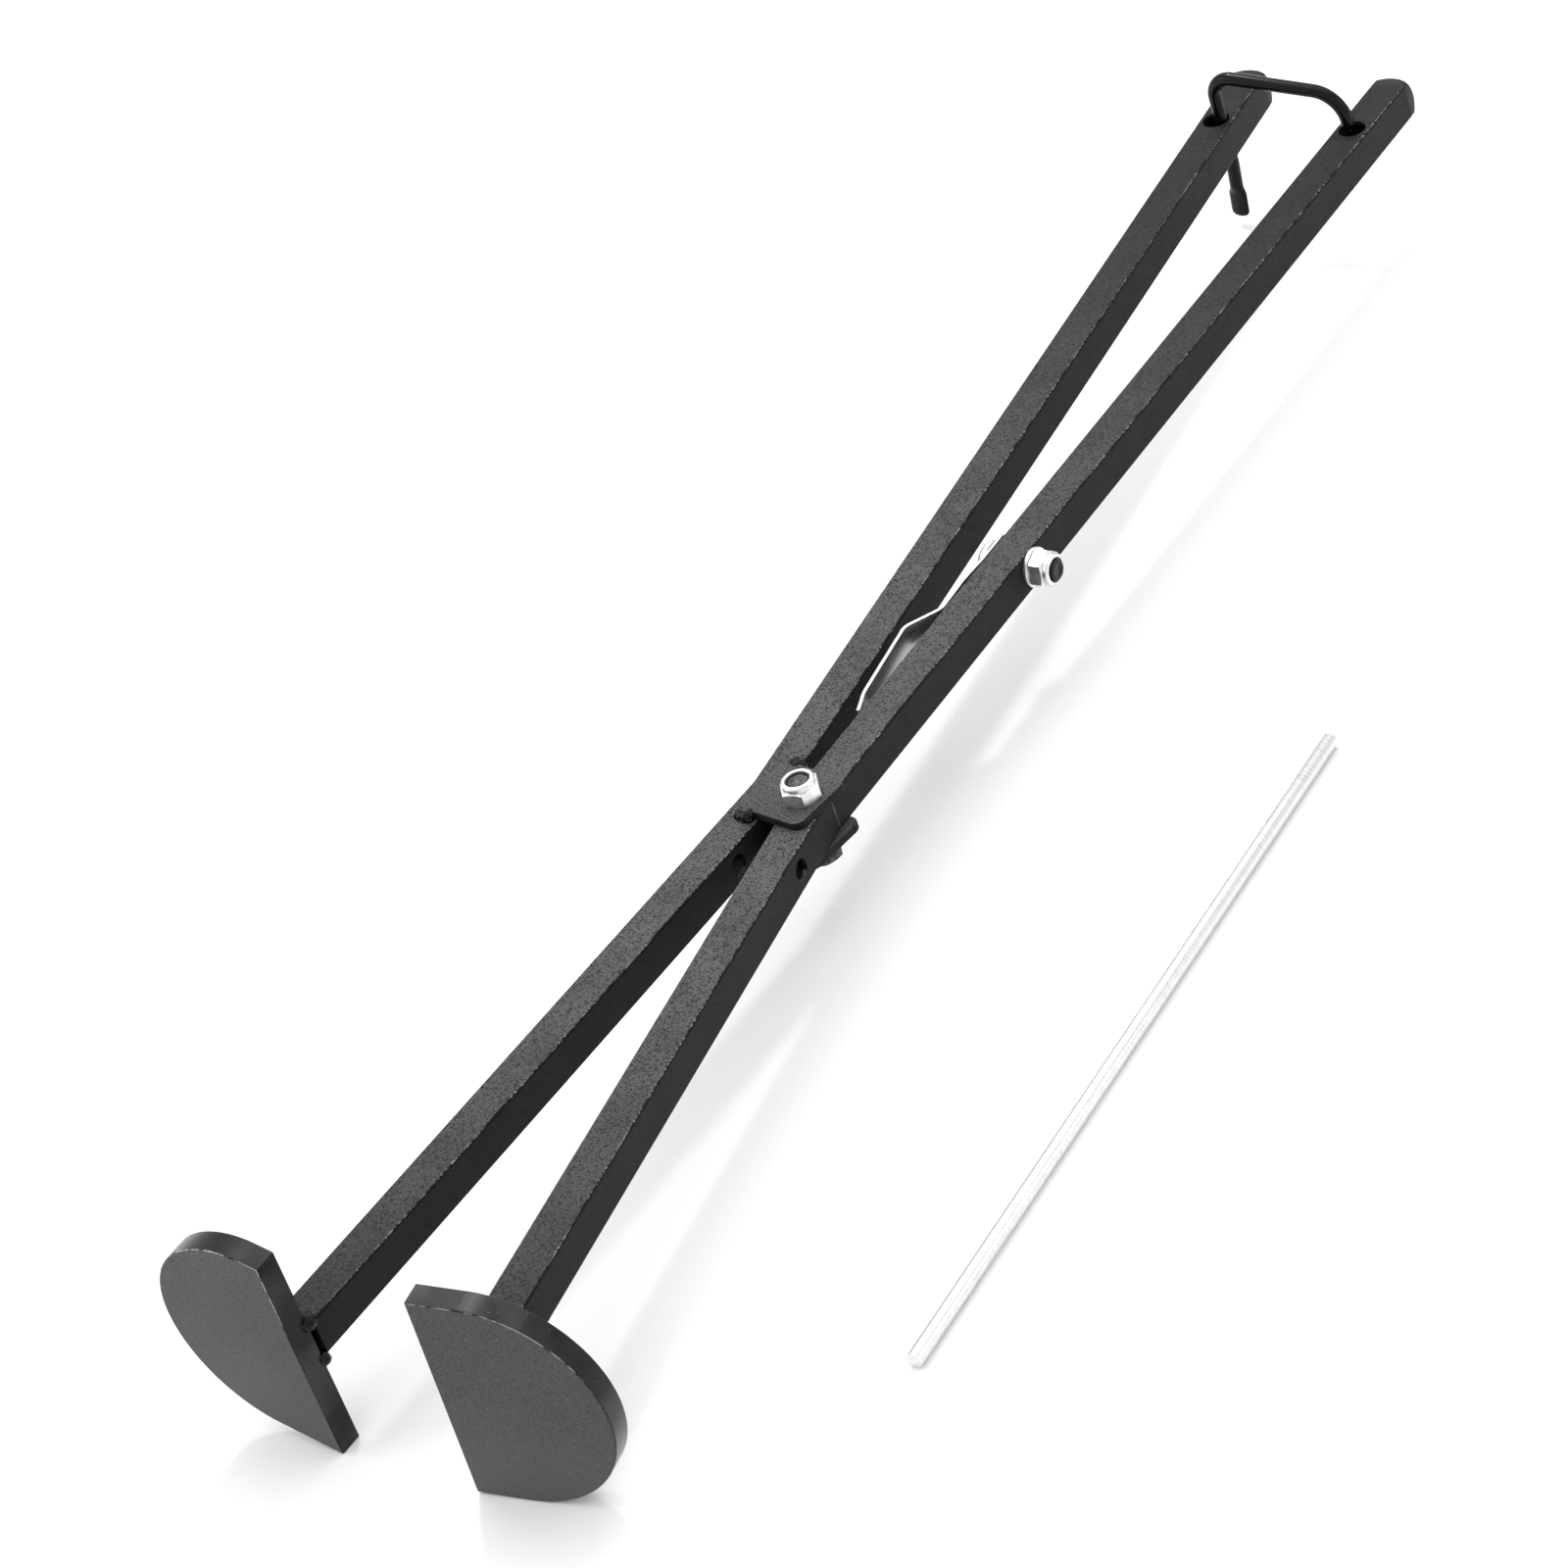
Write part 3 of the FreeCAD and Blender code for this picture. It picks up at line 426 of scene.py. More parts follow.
FINISHES = {
    "left_upper_arm": powder_coat("coat_left_handle", LEFT_BEND, LEFT_UPPER),
    "right_upper_arm": powder_coat("coat_right_handle", RIGHT_BEND, RIGHT_UPPER),
    "left_lower_arm": powder_coat("coat_left_jaw_bar", LEFT_BEND, LEFT_LOWER),
    "right_lower_arm": powder_coat("coat_right_jaw_bar", RIGHT_BEND, RIGHT_LOWER),
    "tab": powder_coat("coat_tab"),
    "left_plate": plate_coat("coat_left_plate", "left_plate_face"),
    "right_plate": plate_coat("coat_right_plate", "right_plate_face"),
    "weld": weld_coat(),
    "seam": ground_seam(),
    "zinc": zinc_plate(),
    "nylon": nylon(),
    "bolt": dark_steel(),
    "cup_bolt": cup_bolt_steel(),
    "spring": spring_steel(),
    "rod": rod_steel(),
    "bail": bail_coat(),
    "cap": cap_plastic(),
}


def coat(piece, finish):
    """Give a piece one finish, on every face."""
    slots = piece.material_slots
    if slots:
        for slot in slots:
            slot.material = FINISHES[finish]
    else:
        piece.data.materials.append(FINISHES[finish])


# ---------------------------------------------------------------- bench tools

def start_clean():
    """Drop the selection, so that the next operator acts on its own piece only."""
    bpy.ops.object.select_all(action="DESELECT")


def named(name):
    """Name the piece that the last operator made."""
    piece = bpy.context.object
    piece.name = name
    piece.data.name = name
    return piece


def only(piece):
    """Select this piece alone."""
    start_clean()
    piece.select_set(True)
    bpy.context.view_layer.objects.active = piece


@contextmanager
def editing(piece, kind="FACE"):
    """Edit mode on one piece, with nothing selected at first."""
    only(piece)
    bpy.ops.object.mode_set(mode="EDIT")
    bpy.ops.mesh.select_mode(type=kind)
    bpy.ops.mesh.select_all(action="DESELECT")
    yield
    bpy.ops.object.mode_set(mode="OBJECT")


def pick_faces(piece, test):
    """Select the faces whose middle and normal pass the test, and nothing else."""
    mesh = bmesh.from_edit_mesh(piece.data)
    for face in mesh.faces:
        face.select_set(False)
    for face in mesh.faces:
        if test(face.calc_center_median(), face.normal):
            face.select_set(True)
    bmesh.update_edit_mesh(piece.data)


def pick_edges(piece, test):
    """Select the edges whose middle and direction pass the test, and nothing else."""
    mesh = bmesh.from_edit_mesh(piece.data)
    for edge in mesh.edges:
        edge.select_set(False)
    for edge in mesh.edges:
        first, second = (corner.co for corner in edge.verts)
        if test((first + second) / 2, (second - first).normalized()):
            edge.select_set(True)
    bmesh.update_edit_mesh(piece.data)


def pick_corners(piece, test):
    """Select the corners whose place passes the test, and nothing else."""
    mesh = bmesh.from_edit_mesh(piece.data)
    for corner in mesh.verts:
        corner.select_set(test(corner.co))
    mesh.select_flush(True)
    bmesh.update_edit_mesh(piece.data)


def modify(piece, kind, **settings):
    """Add a modifier with these settings and apply it."""
    only(piece)
    tool = piece.modifiers.new(kind.lower(), kind)
    for key, value in settings.items():
        setattr(tool, key, value)
    bpy.ops.object.modifier_apply(modifier=tool.name)


def cut(piece, other, operation="DIFFERENCE"):
    """A boolean of two pieces; the second one is used up."""
    modify(piece, "BOOLEAN", object=other, operation=operation, solver="EXACT")
    bpy.data.objects.remove(other, do_unlink=True)


def soften(piece, width, segments, angle):
    """Break the edges that are sharper than the angle, in degrees."""
    modify(piece, "BEVEL", width=width, segments=segments, limit_method="ANGLE",
           angle_limit=math.radians(angle))


def smooth(piece, angle):
    """Shade smoothly over every edge flatter than the angle, in degrees."""
    only(piece)
    bpy.ops.object.shade_smooth_by_angle(angle=math.radians(angle))


def outward_faces(piece):
    """Merge doubled corners and turn all faces outwards."""
    with editing(piece):
        bpy.ops.mesh.select_all(action="SELECT")
        bpy.ops.mesh.remove_doubles(threshold=0.001 * MM)
        bpy.ops.mesh.normals_make_consistent(inside=False)


def settle(piece, matrix=None):
    """Move the piece to its place and write that place into its mesh."""
    if matrix is not None:
        piece.matrix_world = matrix @ piece.matrix_world
    only(piece)
    bpy.ops.object.transform_apply(location=True, rotation=True, scale=True)


def join(pieces, name):
    """Make one piece of several, with a new name."""
    start_clean()
    for piece in pieces:
        piece.select_set(True)
    bpy.context.view_layer.objects.active = pieces[0]
    bpy.ops.object.join()
    return named(name)


def basis(origin, x_axis, z_axis):
    """A placement with these x and z directions."""
    z = z_axis.normalized()
    x = (x_axis - z * x_axis.dot(z)).normalized()
    y = z.cross(x)
    turn = Matrix((x, y, z)).transposed().to_4x4()
    return Matrix.Translation(origin) @ turn


def hand_in(piece, finish, body, node, angle=35):
    """The last steps of every piece: finish, smoothing, body, slot and the node that it stands for."""
    coat(piece, finish)
    smooth(piece, angle)
    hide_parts(node)
    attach(piece, body)


# ---------------------------------------------------------------- blanks and cuts

def disc(name, radius, low, high, corners=64):
    """A round blank along z."""
    start_clean()
    bpy.ops.mesh.primitive_cylinder_add(vertices=corners, radius=radius, depth=high - low,
                                        location=(0, 0, (low + high) / 2))
    blank = named(name)
    settle(blank)
    return blank


def block(name, size, middle):
    """A square blank."""
    start_clean()
    bpy.ops.mesh.primitive_cube_add(size=1, location=middle)
    blank = named(name)
    blank.scale = size
    settle(blank)
    return blank


def drill(piece, clearance, low, high):
    """A round bolt hole along z, wider than the bolt's radius by the clearance."""
    cut(piece, disc("bore", BOLT / 2 + clearance, low, high, corners=48))


def round_rims(piece, levels, width, segments, profile=0.5):
    """Round the level edges at these heights."""
    with editing(piece, "EDGE"):
        pick_edges(piece, lambda middle, way: abs(way.z) < 0.5
                   and any(abs(middle.z - level) < ON_LEVEL for level in levels))
        bpy.ops.mesh.bevel(offset=width, segments=segments, profile=profile, affect="EDGES")


def round_uprights(piece, radius, segments):
    """Round the upright edges of a square blank."""
    with editing(piece, "EDGE"):
        pick_edges(piece, lambda middle, way: abs(way.z) > 0.9)
        bpy.ops.mesh.bevel(offset=radius, segments=segments, affect="EDGES")


def extrude(step):
    bpy.ops.mesh.extrude_region_move(TRANSFORM_OT_translate={"value": tuple(step)})


def bend_round(centre, angle, steps):
    """Carry the selected end of a wire round a centre, in the upright plane."""
    bpy.ops.mesh.spin(steps=steps, angle=angle, center=centre, axis=(0, 1, 0))


# ---------------------------------------------------------------- fasteners

def hexagon(name, low, high, turned_ends):
    """A hexagonal blank whose corners are turned off by a cone at the given ends."""
    corner_radius = HEX_FLATS / math.sqrt(3)
    blank = disc(name, corner_radius, low, high, corners=6)
    blank.rotation_euler = (0, 0, math.radians(30))
    settle(blank)
    cone = disc("turning", corner_radius + 0.02 * MM, low, high, corners=96)
    turned = corner_radius - HEX_FLATS / 2 * 0.96
    fall = turned * math.tan(math.radians(30))
    for level in turned_ends:
        with editing(cone):
            pick_faces(cone, lambda middle, normal: abs(middle.z - level) < ON_LEVEL)
            bpy.ops.mesh.inset(thickness=turned, depth=0)
        with editing(cone, "VERT"):
            pick_corners(cone, lambda point: abs(point.z - level) < ON_LEVEL
                         and point.xy.length > corner_radius - 0.1 * MM)
            bpy.ops.transform.translate(value=(0, 0, -fall if level == high else fall))
    cut(blank, cone, "INTERSECT")
    return blank


def lock_nut(name, place):
    """A hex lock nut: turned hexagon, round collar rolled in over the nylon ring, open bore."""
    hex_height = 5.8 * MM
    height = 8 * MM
    collar_radius = 6.1 * MM
    nut = hexagon(name, 0, hex_height, turned_ends=(0, hex_height))
    ring = disc("collar", collar_radius, 1 * MM, height, corners=72)
    round_rims(ring, (height,), 1.1 * MM, 7, profile=0.55)
    with editing(ring):
        pick_faces(ring, lambda middle, normal: middle.z > height - ON_LEVEL and normal.z > 0.99)
        bpy.ops.mesh.inset(thickness=0.25 * MM, depth=0)
        bpy.ops.mesh.inset(thickness=0.25 * MM, depth=-0.35 * MM)
        bpy.ops.mesh.inset(thickness=0.05 * MM, depth=-1.4 * MM)
    cut(nut, ring, "UNION")
    drill(nut, 0.02 * MM, -1 * MM, height + 1 * MM)
    soften(nut, 0.12 * MM, 2, 25)
    settle(nut, place)
    return nut


def nylon_ring(name, place):
    """The dark ring inside a lock nut's collar."""
    ring = disc(name, 5.2 * MM, 6.2 * MM, 7.55 * MM)
    drill(ring, 0.03 * MM, 5 * MM, 9 * MM)
    soften(ring, 0.25 * MM, 3, 40)
    settle(ring, place)
    return ring


def bolt_blank(name, length):
    """A round shank from z = 0 up, with a turned and slightly dished end."""
    blank = disc(name, BOLT / 2 - 0.02 * MM, 0, length)
    round_rims(blank, (length,), BOLT_TIP, 2, profile=0.6)
    with editing(blank):
        pick_faces(blank, lambda middle, normal: normal.z > 0.99)
        bpy.ops.mesh.inset(thickness=0.7 * MM, depth=0)
        bpy.ops.mesh.inset(thickness=0.25 * MM, depth=-0.18 * MM)
    return blank


def cut_thread(blank, low, high):
    """Thread grooves, each a ring sunk between two crests."""
    pitch = 1.25 * MM
    depth = 0.62 * MM
    root = 1 - depth / (BOLT / 2)
    count = int((high - low) / pitch)
    for turn in range(count):
        for edge in (0.5, 1.0):
            level = low + pitch * (turn + edge)
            with editing(blank):
                bpy.ops.mesh.select_all(action="SELECT")
                bpy.ops.mesh.bisect(plane_co=(0, 0, level), plane_no=(0, 0, 1))
    with editing(blank, "VERT"):
        for turn in range(count):
            level = low + pitch * (turn + 0.5)
            pick_corners(blank, lambda point: abs(point.z - level) < ON_LEVEL)
            bpy.ops.transform.resize(value=(root, root, 1), center_override=(0, 0, level))


def make_pivot_fasteners():
    """The bolt through both tabs, its head below and its lock nut on top."""
    under = Vector((PIVOT.x, PIVOT.y, TAB_UNDERSIDE))
    turn = Matrix.Rotation(NUT_TURN - math.radians(30), 4, "Z")
    above = Matrix.Translation(Vector((PIVOT.x, PIVOT.y, TAB_TOP))) @ turn
    below = Matrix.Translation(under) @ turn
    nut = lock_nut("pivot_lock_nut", above)
    hand_in(nut, "zinc", "left_arm", "pivot_nut", angle=30)
    ring = nylon_ring("pivot_nut_nylon", above)
    hand_in(ring, "nylon", "left_arm", "pivot_nut_insert")
    length = BAR + 2 * TAB_THICK + 7.2 * MM
    bolt = bolt_blank("pivot_bolt_steel", length)
    cut_thread(bolt, length - 7 * MM, length - BOLT_TIP)
    head_height = 5.3 * MM
    head = hexagon("head", -head_height, 0, turned_ends=(-head_height,))
    cut(bolt, head, "UNION")
    settle(bolt, below)
    hand_in(bolt, "bolt", "left_arm", "pivot_bolt", angle=30)


def make_spring_fasteners():
    """The cup bolt that holds the spring, with its washer and lock nut on the outer side."""
    outer = Vector((RIGHT_UPPER.y, -RIGHT_UPPER.x, 0))
    middle = RIGHT_BEND + RIGHT_UPPER * SPRING_BOLT_AT
    outside = basis(middle + outer * HALF_BAR, RIGHT_UPPER, outer)
    inside = basis(middle - outer * (HALF_BAR + SPRING_THICK), RIGHT_UPPER, outer)
    washer = disc("spring_plain_washer", WASHER_RADIUS, 0, WASHER_THICK)
    drill(washer, 0.15 * MM, -1 * MM, 3 * MM)
    soften(washer, 0.3 * MM, 3, 40)
    settle(washer, outside)
    hand_in(washer, "zinc", "right_arm", "spring_washer", angle=40)
    on_washer = (outside @ Matrix.Translation((0, 0, WASHER_THICK))
                 @ Matrix.Rotation(math.radians(18), 4, "Z"))
    nut = lock_nut("spring_lock_nut", on_washer)
    hand_in(nut, "zinc", "right_arm", "spring_nut", angle=30)
    ring = nylon_ring("spring_nut_nylon", on_washer)
    hand_in(ring, "nylon", "right_arm", "spring_nut_insert")
    length = SPRING_THICK + BAR + WASHER_THICK + 9 * MM
    bolt = bolt_blank("spring_cup_bolt", length)
    cut_thread(bolt, length - 5 * MM, length - BOLT_TIP)
    head = disc("head", CUP_RADIUS, -CUP_HEIGHT, 0)
    round_rims(head, (-CUP_HEIGHT,), 3.3 * MM, 8)
    cut(bolt, head, "UNION")
    settle(bolt, inside)
    hand_in(bolt, "cup_bolt", "right_arm", "spring_bolt", angle=40)


# ---------------------------------------------------------------- welds

def weld_bead(name, start, stop, leg, seats, lumps, seed):
    """A run of overlapping lumps of uneven size along a corner, ready to be melted together."""
    chance = random.Random(seed)
    lean = (seats[0] + seats[1]).normalized()
    blobs = []
    for index in range(lumps):
        share = (index + chance.uniform(0.35, 0.65)) / lumps
        size = leg * chance.uniform(0.55, 0.85)
        drift = lean * leg * chance.uniform(0.15, 0.45)
        start_clean()
        bpy.ops.mesh.primitive_ico_sphere_add(subdivisions=3, radius=size,
                                              location=start + (stop - start) * share + drift)
        blob = named(f"lump_{index}")
        settle(blob)
        with editing(blob, "VERT"):
            bpy.ops.mesh.select_all(action="SELECT")
            bpy.ops.transform.vertex_random(offset=leg * 0.06, uniform=0.6, normal=0.3,
                                            seed=seed * 10 + index)
        blobs.append(blob)
    return join(blobs, name)


def melt(bead, grain, rounds):
    """Close overlapping lumps into one skin."""
    modify(bead, "REMESH", mode="VOXEL", voxel_size=grain)
    modify(bead, "SMOOTH", factor=0.5, iterations=rounds)


def tab_sides():
    """Across the tabs, away from the left bar, and up the tool."""
    return (Vector((math.cos(TAB_TURN), -math.sin(TAB_TURN), 0)),
            Vector((math.sin(TAB_TURN), math.cos(TAB_TURN), 0)))


def make_tab_welds():
    """Short beads that hold the two tabs to the left bar, before and behind the bolt."""
    across, ahead = tab_sides()
    inner_end = -HALF_BAR - BEND_GAP - 2.8 * MM
    outer_end = inner_end - 5.4 * MM
    for level, up in (("upper", 1), ("lower", -1)):
        for edge, way in (("front", -1), ("rear", 1)):
            node = f"{level}_tab_{edge}_weld"
            seat = Vector((0, 0, up))
            base = PIVOT + ahead * (way * TAB_LENGTH / 2) + seat * HALF_BAR
            bead = weld_bead(f"{node}_bead", base + across * inner_end, base + across * outer_end,
                             3.9 * MM, (ahead * way, seat), 4, 11 + 3 * up + way)
            melt(bead, 0.25 * MM, 2)
            hand_in(bead, "weld", "left_arm", node, angle=60)


def make_plate_welds():
    """Beads on three sides of each bar's end, open on the side of the plate's flat edge."""
    for side in ("left", "right"):
        outward = heading_of(f"{side}_plate_face")
        bend = LEFT_BEND if side == "left" else RIGHT_BEND
        back = place_of(f"{side}_plate_face") - outward * PLATE_THICK
        bar_end = bend + outward * (back - bend).dot(outward)
        round_side = outward.cross(UP) * (1 if side == "left" else -1)
        corners = [bar_end + round_side * (y * HALF_BAR) + UP * (z * HALF_BAR)
                   for y, z in ((-1, 1), (1, 1), (1, -1), (-1, -1))]
        seats = [(UP, -outward), (round_side, -outward), (-UP, -outward)]
        beads = [weld_bead(f"{side}_weld_{index}", first, second, 4.0 * MM, seats[index], 8,
                           40 + index)
                 for index, (first, second) in enumerate(zip(corners, corners[1:]))]
        whole = join(beads, f"{side}_plate_weld_bead")
        melt(whole, 0.4 * MM, 2)
        hand_in(whole, "weld", f"{side}_arm", f"{side}_plate_weld", angle=60)


# ---------------------------------------------------------------- rod, spring, bail, tabs

def make_rod():
    """Bright rod with small chamfers and faced ends."""
    low, high = (Vector(corner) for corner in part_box("cross_rod"))
    radius = (high.z - low.z) / 2
    end = ROD_LENGTH / 2
    heading = Vector((math.sin(ROD_LEAN), math.cos(ROD_LEAN), 0))
    rod = disc("ground_cross_rod", radius, -end, end, corners=72)
    round_rims(rod, (-end, end), 0.6 * MM, 2, profile=0.7)
    settle(rod, basis((low + high) / 2, UP, heading))
    hand_in(rod, "rod", "rod", "cross_rod", angle=25)


def make_tabs():
    """Two clevis tabs with round corners and broken edges."""
    for level, low in (("upper", MIDDLE + HALF_BAR), ("lower", TAB_UNDERSIDE)):
        tab = block(f"{level}_clevis_tab", (TAB_WIDTH, TAB_LENGTH, TAB_THICK),
                    (TAB_MARGIN - TAB_WIDTH / 2, 0, TAB_THICK / 2))
        round_uprights(tab, TAB_CORNER, 8)
        soften(tab, 0.35 * MM, 3, 50)
        drill(tab, 0.1 * MM, -1 * MM, TAB_THICK + 1 * MM)
        place = Matrix.Translation(Vector((PIVOT.x, PIVOT.y, low)))
        settle(tab, place @ Matrix.Rotation(-TAB_TURN, 4, "Z"))
        hand_in(tab, "tab", "left_arm", f"{level}_pivot_tab", angle=30)


# the hammered end of the bail: how far each step goes on, in millimetres, and how much wider and
# thicker the wire gets over it
SPADE_STEPS = [(1.5, 1.02, 0.93), (1.2, 1.14, 0.82), (1.0, 1.18, 0.84), (1.2, 1.06, 0.90),
               (3.5, 1.0, 0.97), (4.3, 1.0, 1.0), (1.5, 0.93, 0.97), (0.7, 0.82, 0.9),
               (0.3, 0.75, 0.8)]


def make_bail():
    """Wire bent over both handles: short leg, leaning crown, long leg with a hammered spade."""
    left_hole = LEFT_BEND + LEFT_UPPER * BAIL_HOLE_AT
    right_hole = RIGHT_BEND + RIGHT_UPPER * BAIL_HOLE_AT
    across = right_hole - left_hole
    fall = math.radians(5)
    lean = math.radians(5.5)
    short_bend = 13.5 * MM
    long_bend = 9 * MM
    tail_bend = 30 * MM
    tail_run = 9 * MM
    short_at = across.length - 3.6 * MM
    crown = HALF_BAR + 20 * MM
    foot = HALF_BAR + 0.3 * MM
    # centres of the two bends, from the long leg and the bars' mid-height
    long_centre = Vector((long_bend, 0, crown - long_bend * math.cos(fall)))
    run_on = short_at - short_bend - long_centre.x
    drop = (short_bend - long_bend + run_on * math.sin(fall)) / math.cos(fall)
    short_centre = Vector((short_at - short_bend, 0, long_centre.z - drop))
    tangent = Vector((math.sin(fall), 0, math.cos(fall)))
    crown_start = short_centre + tangent * short_bend
    crown_stop = long_centre + tangent * long_bend
    tail_start = Vector((0, 0, -11 * MM))
    tail_way = Vector((-math.sin(lean), 0, -math.cos(lean)))
    start_clean()
    bpy.ops.mesh.primitive_circle_add(vertices=32, radius=WIRE / 2, fill_type="NGON",
                                      location=(short_at, 0, foot))
    bail = named("wire_locking_bail")
    settle(bail)
    with editing(bail):
        bpy.ops.mesh.select_all(action="SELECT")
        extrude((0, 0, short_centre.z - foot))
        bend_round(short_centre, math.pi / 2 - fall, 16)
        extrude(crown_stop - crown_start)
        bend_round(long_centre, math.pi / 2 + fall, 14)
        extrude((0, 0, tail_start.z - long_centre.z))
        bend_round(tail_start - Vector((tail_bend, 0, 0)), -lean, 4)
        extrude(tail_way * tail_run)
        for step, wide, thick in SPADE_STEPS:
            extrude(tail_way * (step * MM))
            bpy.ops.transform.resize(value=(wide, thick, 1))
    outward_faces(bail)
    round_rims(bail, (foot,), 0.7 * MM, 3)
    settle(bail, basis(joint_place("bail_swing"), across, UP))
    hand_in(bail, "bail", "bail", "locking_bail", angle=50)


# the strip's bends, in millimetres: distance up the handle, and its middle's height off the bar
FLUSH = SPRING_THICK / 2 / MM
SPRING_BENDS = [(45.5, FLUSH), (54.8, 4.2), (92.4, 9.4), (105.0, FLUSH), (122.0, FLUSH + 0.8),
                (133.8, FLUSH), (149.3, FLUSH)]


def between_bends(distance):
    """Height off the bar on the straight run that this distance falls in."""
    runs = zip(SPRING_BENDS, SPRING_BENDS[1:])
    (x0, y0), (x1, y1) = next(run for run in runs if distance <= run[1][0])
    return y0 + (y1 - y0) * (distance - x0) / (x1 - x0)


def spring_offset(distance):
    """Height off the bar with the corners eased: the mean over a short stretch of the strip."""
    ease = 1.6
    samples = 9
    half = samples // 2
    first, last = SPRING_BENDS[0][0], SPRING_BENDS[-1][0]
    heights = [between_bends(min(max(distance + ease * part / half, first), last))
               for part in range(-half, half + 1)]
    return sum(heights) / samples


def make_spring():
    """The strip: an edge drawn along its bends, raised to its width and given its thickness."""
    count = 110
    first, last = SPRING_BENDS[0][0], SPRING_BENDS[-1][0]
    path = [first + (last - first) * index / count for index in range(count + 1)]
    start_clean()
    bpy.ops.mesh.primitive_plane_add(size=1 * MM)
    strip = named("bent_leaf_spring")
    with editing(strip, "VERT"):
        pick_corners(strip, lambda point: point.x > 0 or point.y > 0)
        bpy.ops.mesh.delete(type="VERT")
        bpy.ops.mesh.select_all(action="SELECT")
        here = Vector((-0.5, -0.5))
        for distance in path:
            there = Vector((distance, HALF_BAR / MM + spring_offset(distance)))
            step = (there - here) * MM
            if distance == path[0]:
                bpy.ops.transform.translate(value=(step.x, step.y, -HALF_BAR + 0.1 * MM))
            else:
                extrude((step.x, step.y, 0))
            here = there
        bpy.ops.mesh.select_all(action="SELECT")
        extrude((0, 0, BAR - 0.2 * MM))
    outward_faces(strip)
    modify(strip, "SOLIDIFY", thickness=SPRING_THICK, offset=0)
    soften(strip, 0.25 * MM, 2, 50)
    bore = disc("bore", BOLT / 2 + 0.15 * MM, -8 * MM, 8 * MM, corners=48)
    inward = Vector((-RIGHT_UPPER.y, RIGHT_UPPER.x, 0))
    settle(strip, basis(RIGHT_BEND, RIGHT_UPPER, UP))
    settle(bore, basis(RIGHT_BEND + RIGHT_UPPER * SPRING_BOLT_AT + inward * HALF_BAR, UP, inward))
    cut(strip, bore)
    hand_in(strip, "spring", "right_arm", "leaf_spring", angle=40)


def make_end_caps():
    """A moulded plug in each open handle: a pillow-shaped head and a square stem."""
    width = BAR - 0.1 * MM
    stem_width = 11.7 * MM
    rise = 6.9 * MM
    crown = 14 * MM
    for side, heading, bend in (("left", LEFT_UPPER, LEFT_BEND), ("right", RIGHT_UPPER, RIGHT_BEND)):
        cap = block(f"{side}_moulded_cap", (width, width, rise), (0, 0, rise / 2))
        round_uprights(cap, BAR_CORNER, 5)
        start_clean()
        bpy.ops.mesh.primitive_uv_sphere_add(segments=96, ring_count=64, radius=crown,
                                             location=(0, 0, rise - crown))
        ball = named("crown")
        settle(ball)
        cut(cap, ball, "INTERSECT")
        soften(cap, 1.5 * MM, 5, 25)
        stem = block("stem", (stem_width, stem_width, 12 * MM), (0, 0, -5.9 * MM))
        soften(stem, 0.6 * MM, 2, 50)
        cap = join([cap, stem], f"{side}_moulded_cap")
        settle(cap, basis(bend + heading * HANDLE_LENGTH, UP, heading))
        hand_in(cap, "cap", f"{side}_arm", f"{side}_end_cap", angle=60)


# ---------------------------------------------------------------- the object

MADE = [make_pivot_fasteners, make_spring_fasteners, make_tab_welds, make_plate_welds, make_rod,
        make_tabs, make_bail, make_spring, make_end_caps]
for make in MADE:
    make()

# the CAD parts that stay as they are, and their finishes
KEPT = {
    "left_upper_arm": "left_upper_arm", "right_upper_arm": "right_upper_arm",
    "left_lower_arm": "left_lower_arm", "right_lower_arm": "right_lower_arm",
    "left_plate": "left_plate", "right_plate": "right_plate",
    "left_bend_weld": "seam", "right_bend_weld": "seam",
}
for node, finish in KEPT.items():
    coat(frame["nodes"][node], finish)


# ---------------------------------------------------------------- floor, light, camera

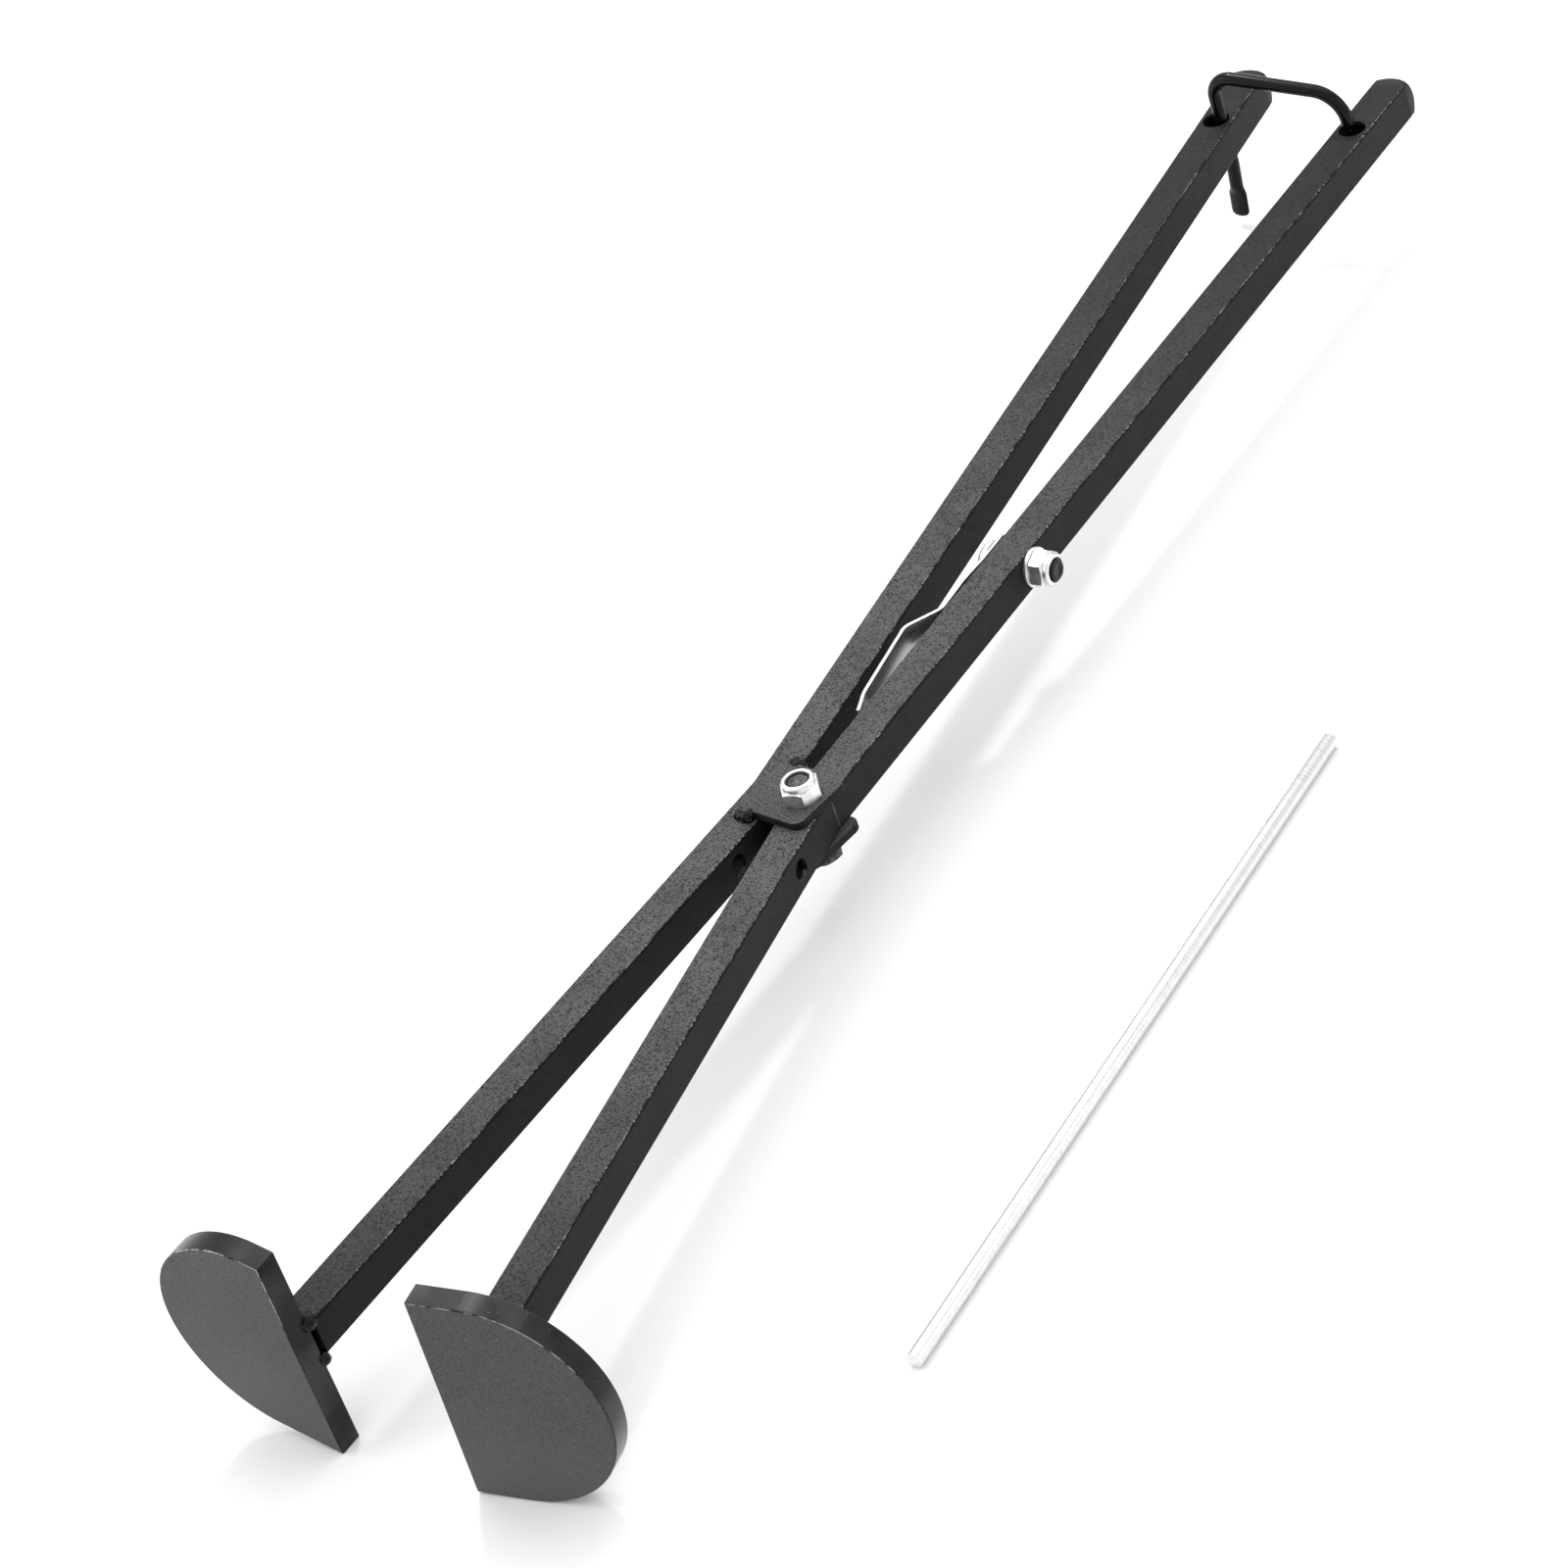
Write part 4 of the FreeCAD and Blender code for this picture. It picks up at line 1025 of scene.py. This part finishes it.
def make_floor():
    """A wide pale floor."""
    start_clean()
    bpy.ops.mesh.primitive_plane_add(size=12, location=(0, 0, 0))
    floor = named("floor")
    finish = Finish("pale_floor")
    cloud = finish.noise(2.0, 2.0)
    colour = finish.mix(cloud, grey(0.92), grey(0.94))
    floor.data.materials.append(finish.done(Base_Color=colour, Roughness=0.9))


def soft_light(name, place, aim, size, power):
    """An oblong lamp at place, turned towards aim."""
    bpy.ops.object.light_add(type="AREA", location=place)
    lamp = bpy.context.object
    lamp.name = name
    lamp.data.shape = "RECTANGLE"
    lamp.data.size = size[0]
    lamp.data.size_y = size[1]
    lamp.data.energy = power
    lamp.rotation_euler = (Vector(aim) - Vector(place)).to_track_quat("-Z", "Y").to_euler()


def make_lights():
    """One broad lamp overhead, a small one for the bail, two fills and a white surround."""
    soft_light("overhead", (-0.3, 0.5, 1.9), PIVOT, (2.4, 2.0), 17)
    soft_light("small_lamp", (-0.73, 0.78, 1.32), (-0.03, 0.33, 0.07), (0.16, 0.16), 7)
    soft_light("left_wall", (-1.6, -0.9, 1.0), PIVOT, (1.2, 1.0), 7)
    soft_light("right_fill", (1.7, 0.6, 0.9), PIVOT, (1.0, 1.0), 3)
    world = bpy.data.worlds.new("studio")
    world.use_nodes = True
    sky = world.node_tree.nodes["Background"]
    sky.inputs["Color"].default_value = (1.0, 1.0, 1.0, 1.0)
    sky.inputs["Strength"].default_value = 1.02
    bpy.context.scene.world = world


def make_camera():
    """A long lens, looking down on the tool from its front right."""
    elevation = math.radians(35.19)
    azimuth = math.radians(41.01)
    roll = math.radians(-19.84)
    camera = bpy.data.objects.new("camera", bpy.data.cameras.new("camera"))
    bpy.context.scene.collection.objects.link(camera)
    camera.data.sensor_width = 36
    camera.data.lens = 114.8
    turn = (Matrix.Rotation(azimuth, 4, "Z") @ Matrix.Rotation(math.pi / 2 - elevation, 4, "X")
            @ Matrix.Rotation(roll, 4, "Z"))
    away = Vector((0.9163, -1.0653, 1.00627))
    camera.matrix_world = Matrix.Translation(RIGHT_BEND + away) @ turn
    camera.data.clip_start = 0.05
    bpy.context.scene.camera = camera


make_floor()
make_lights()
make_camera()
bpy.context.scene.view_settings.view_transform = "Standard"
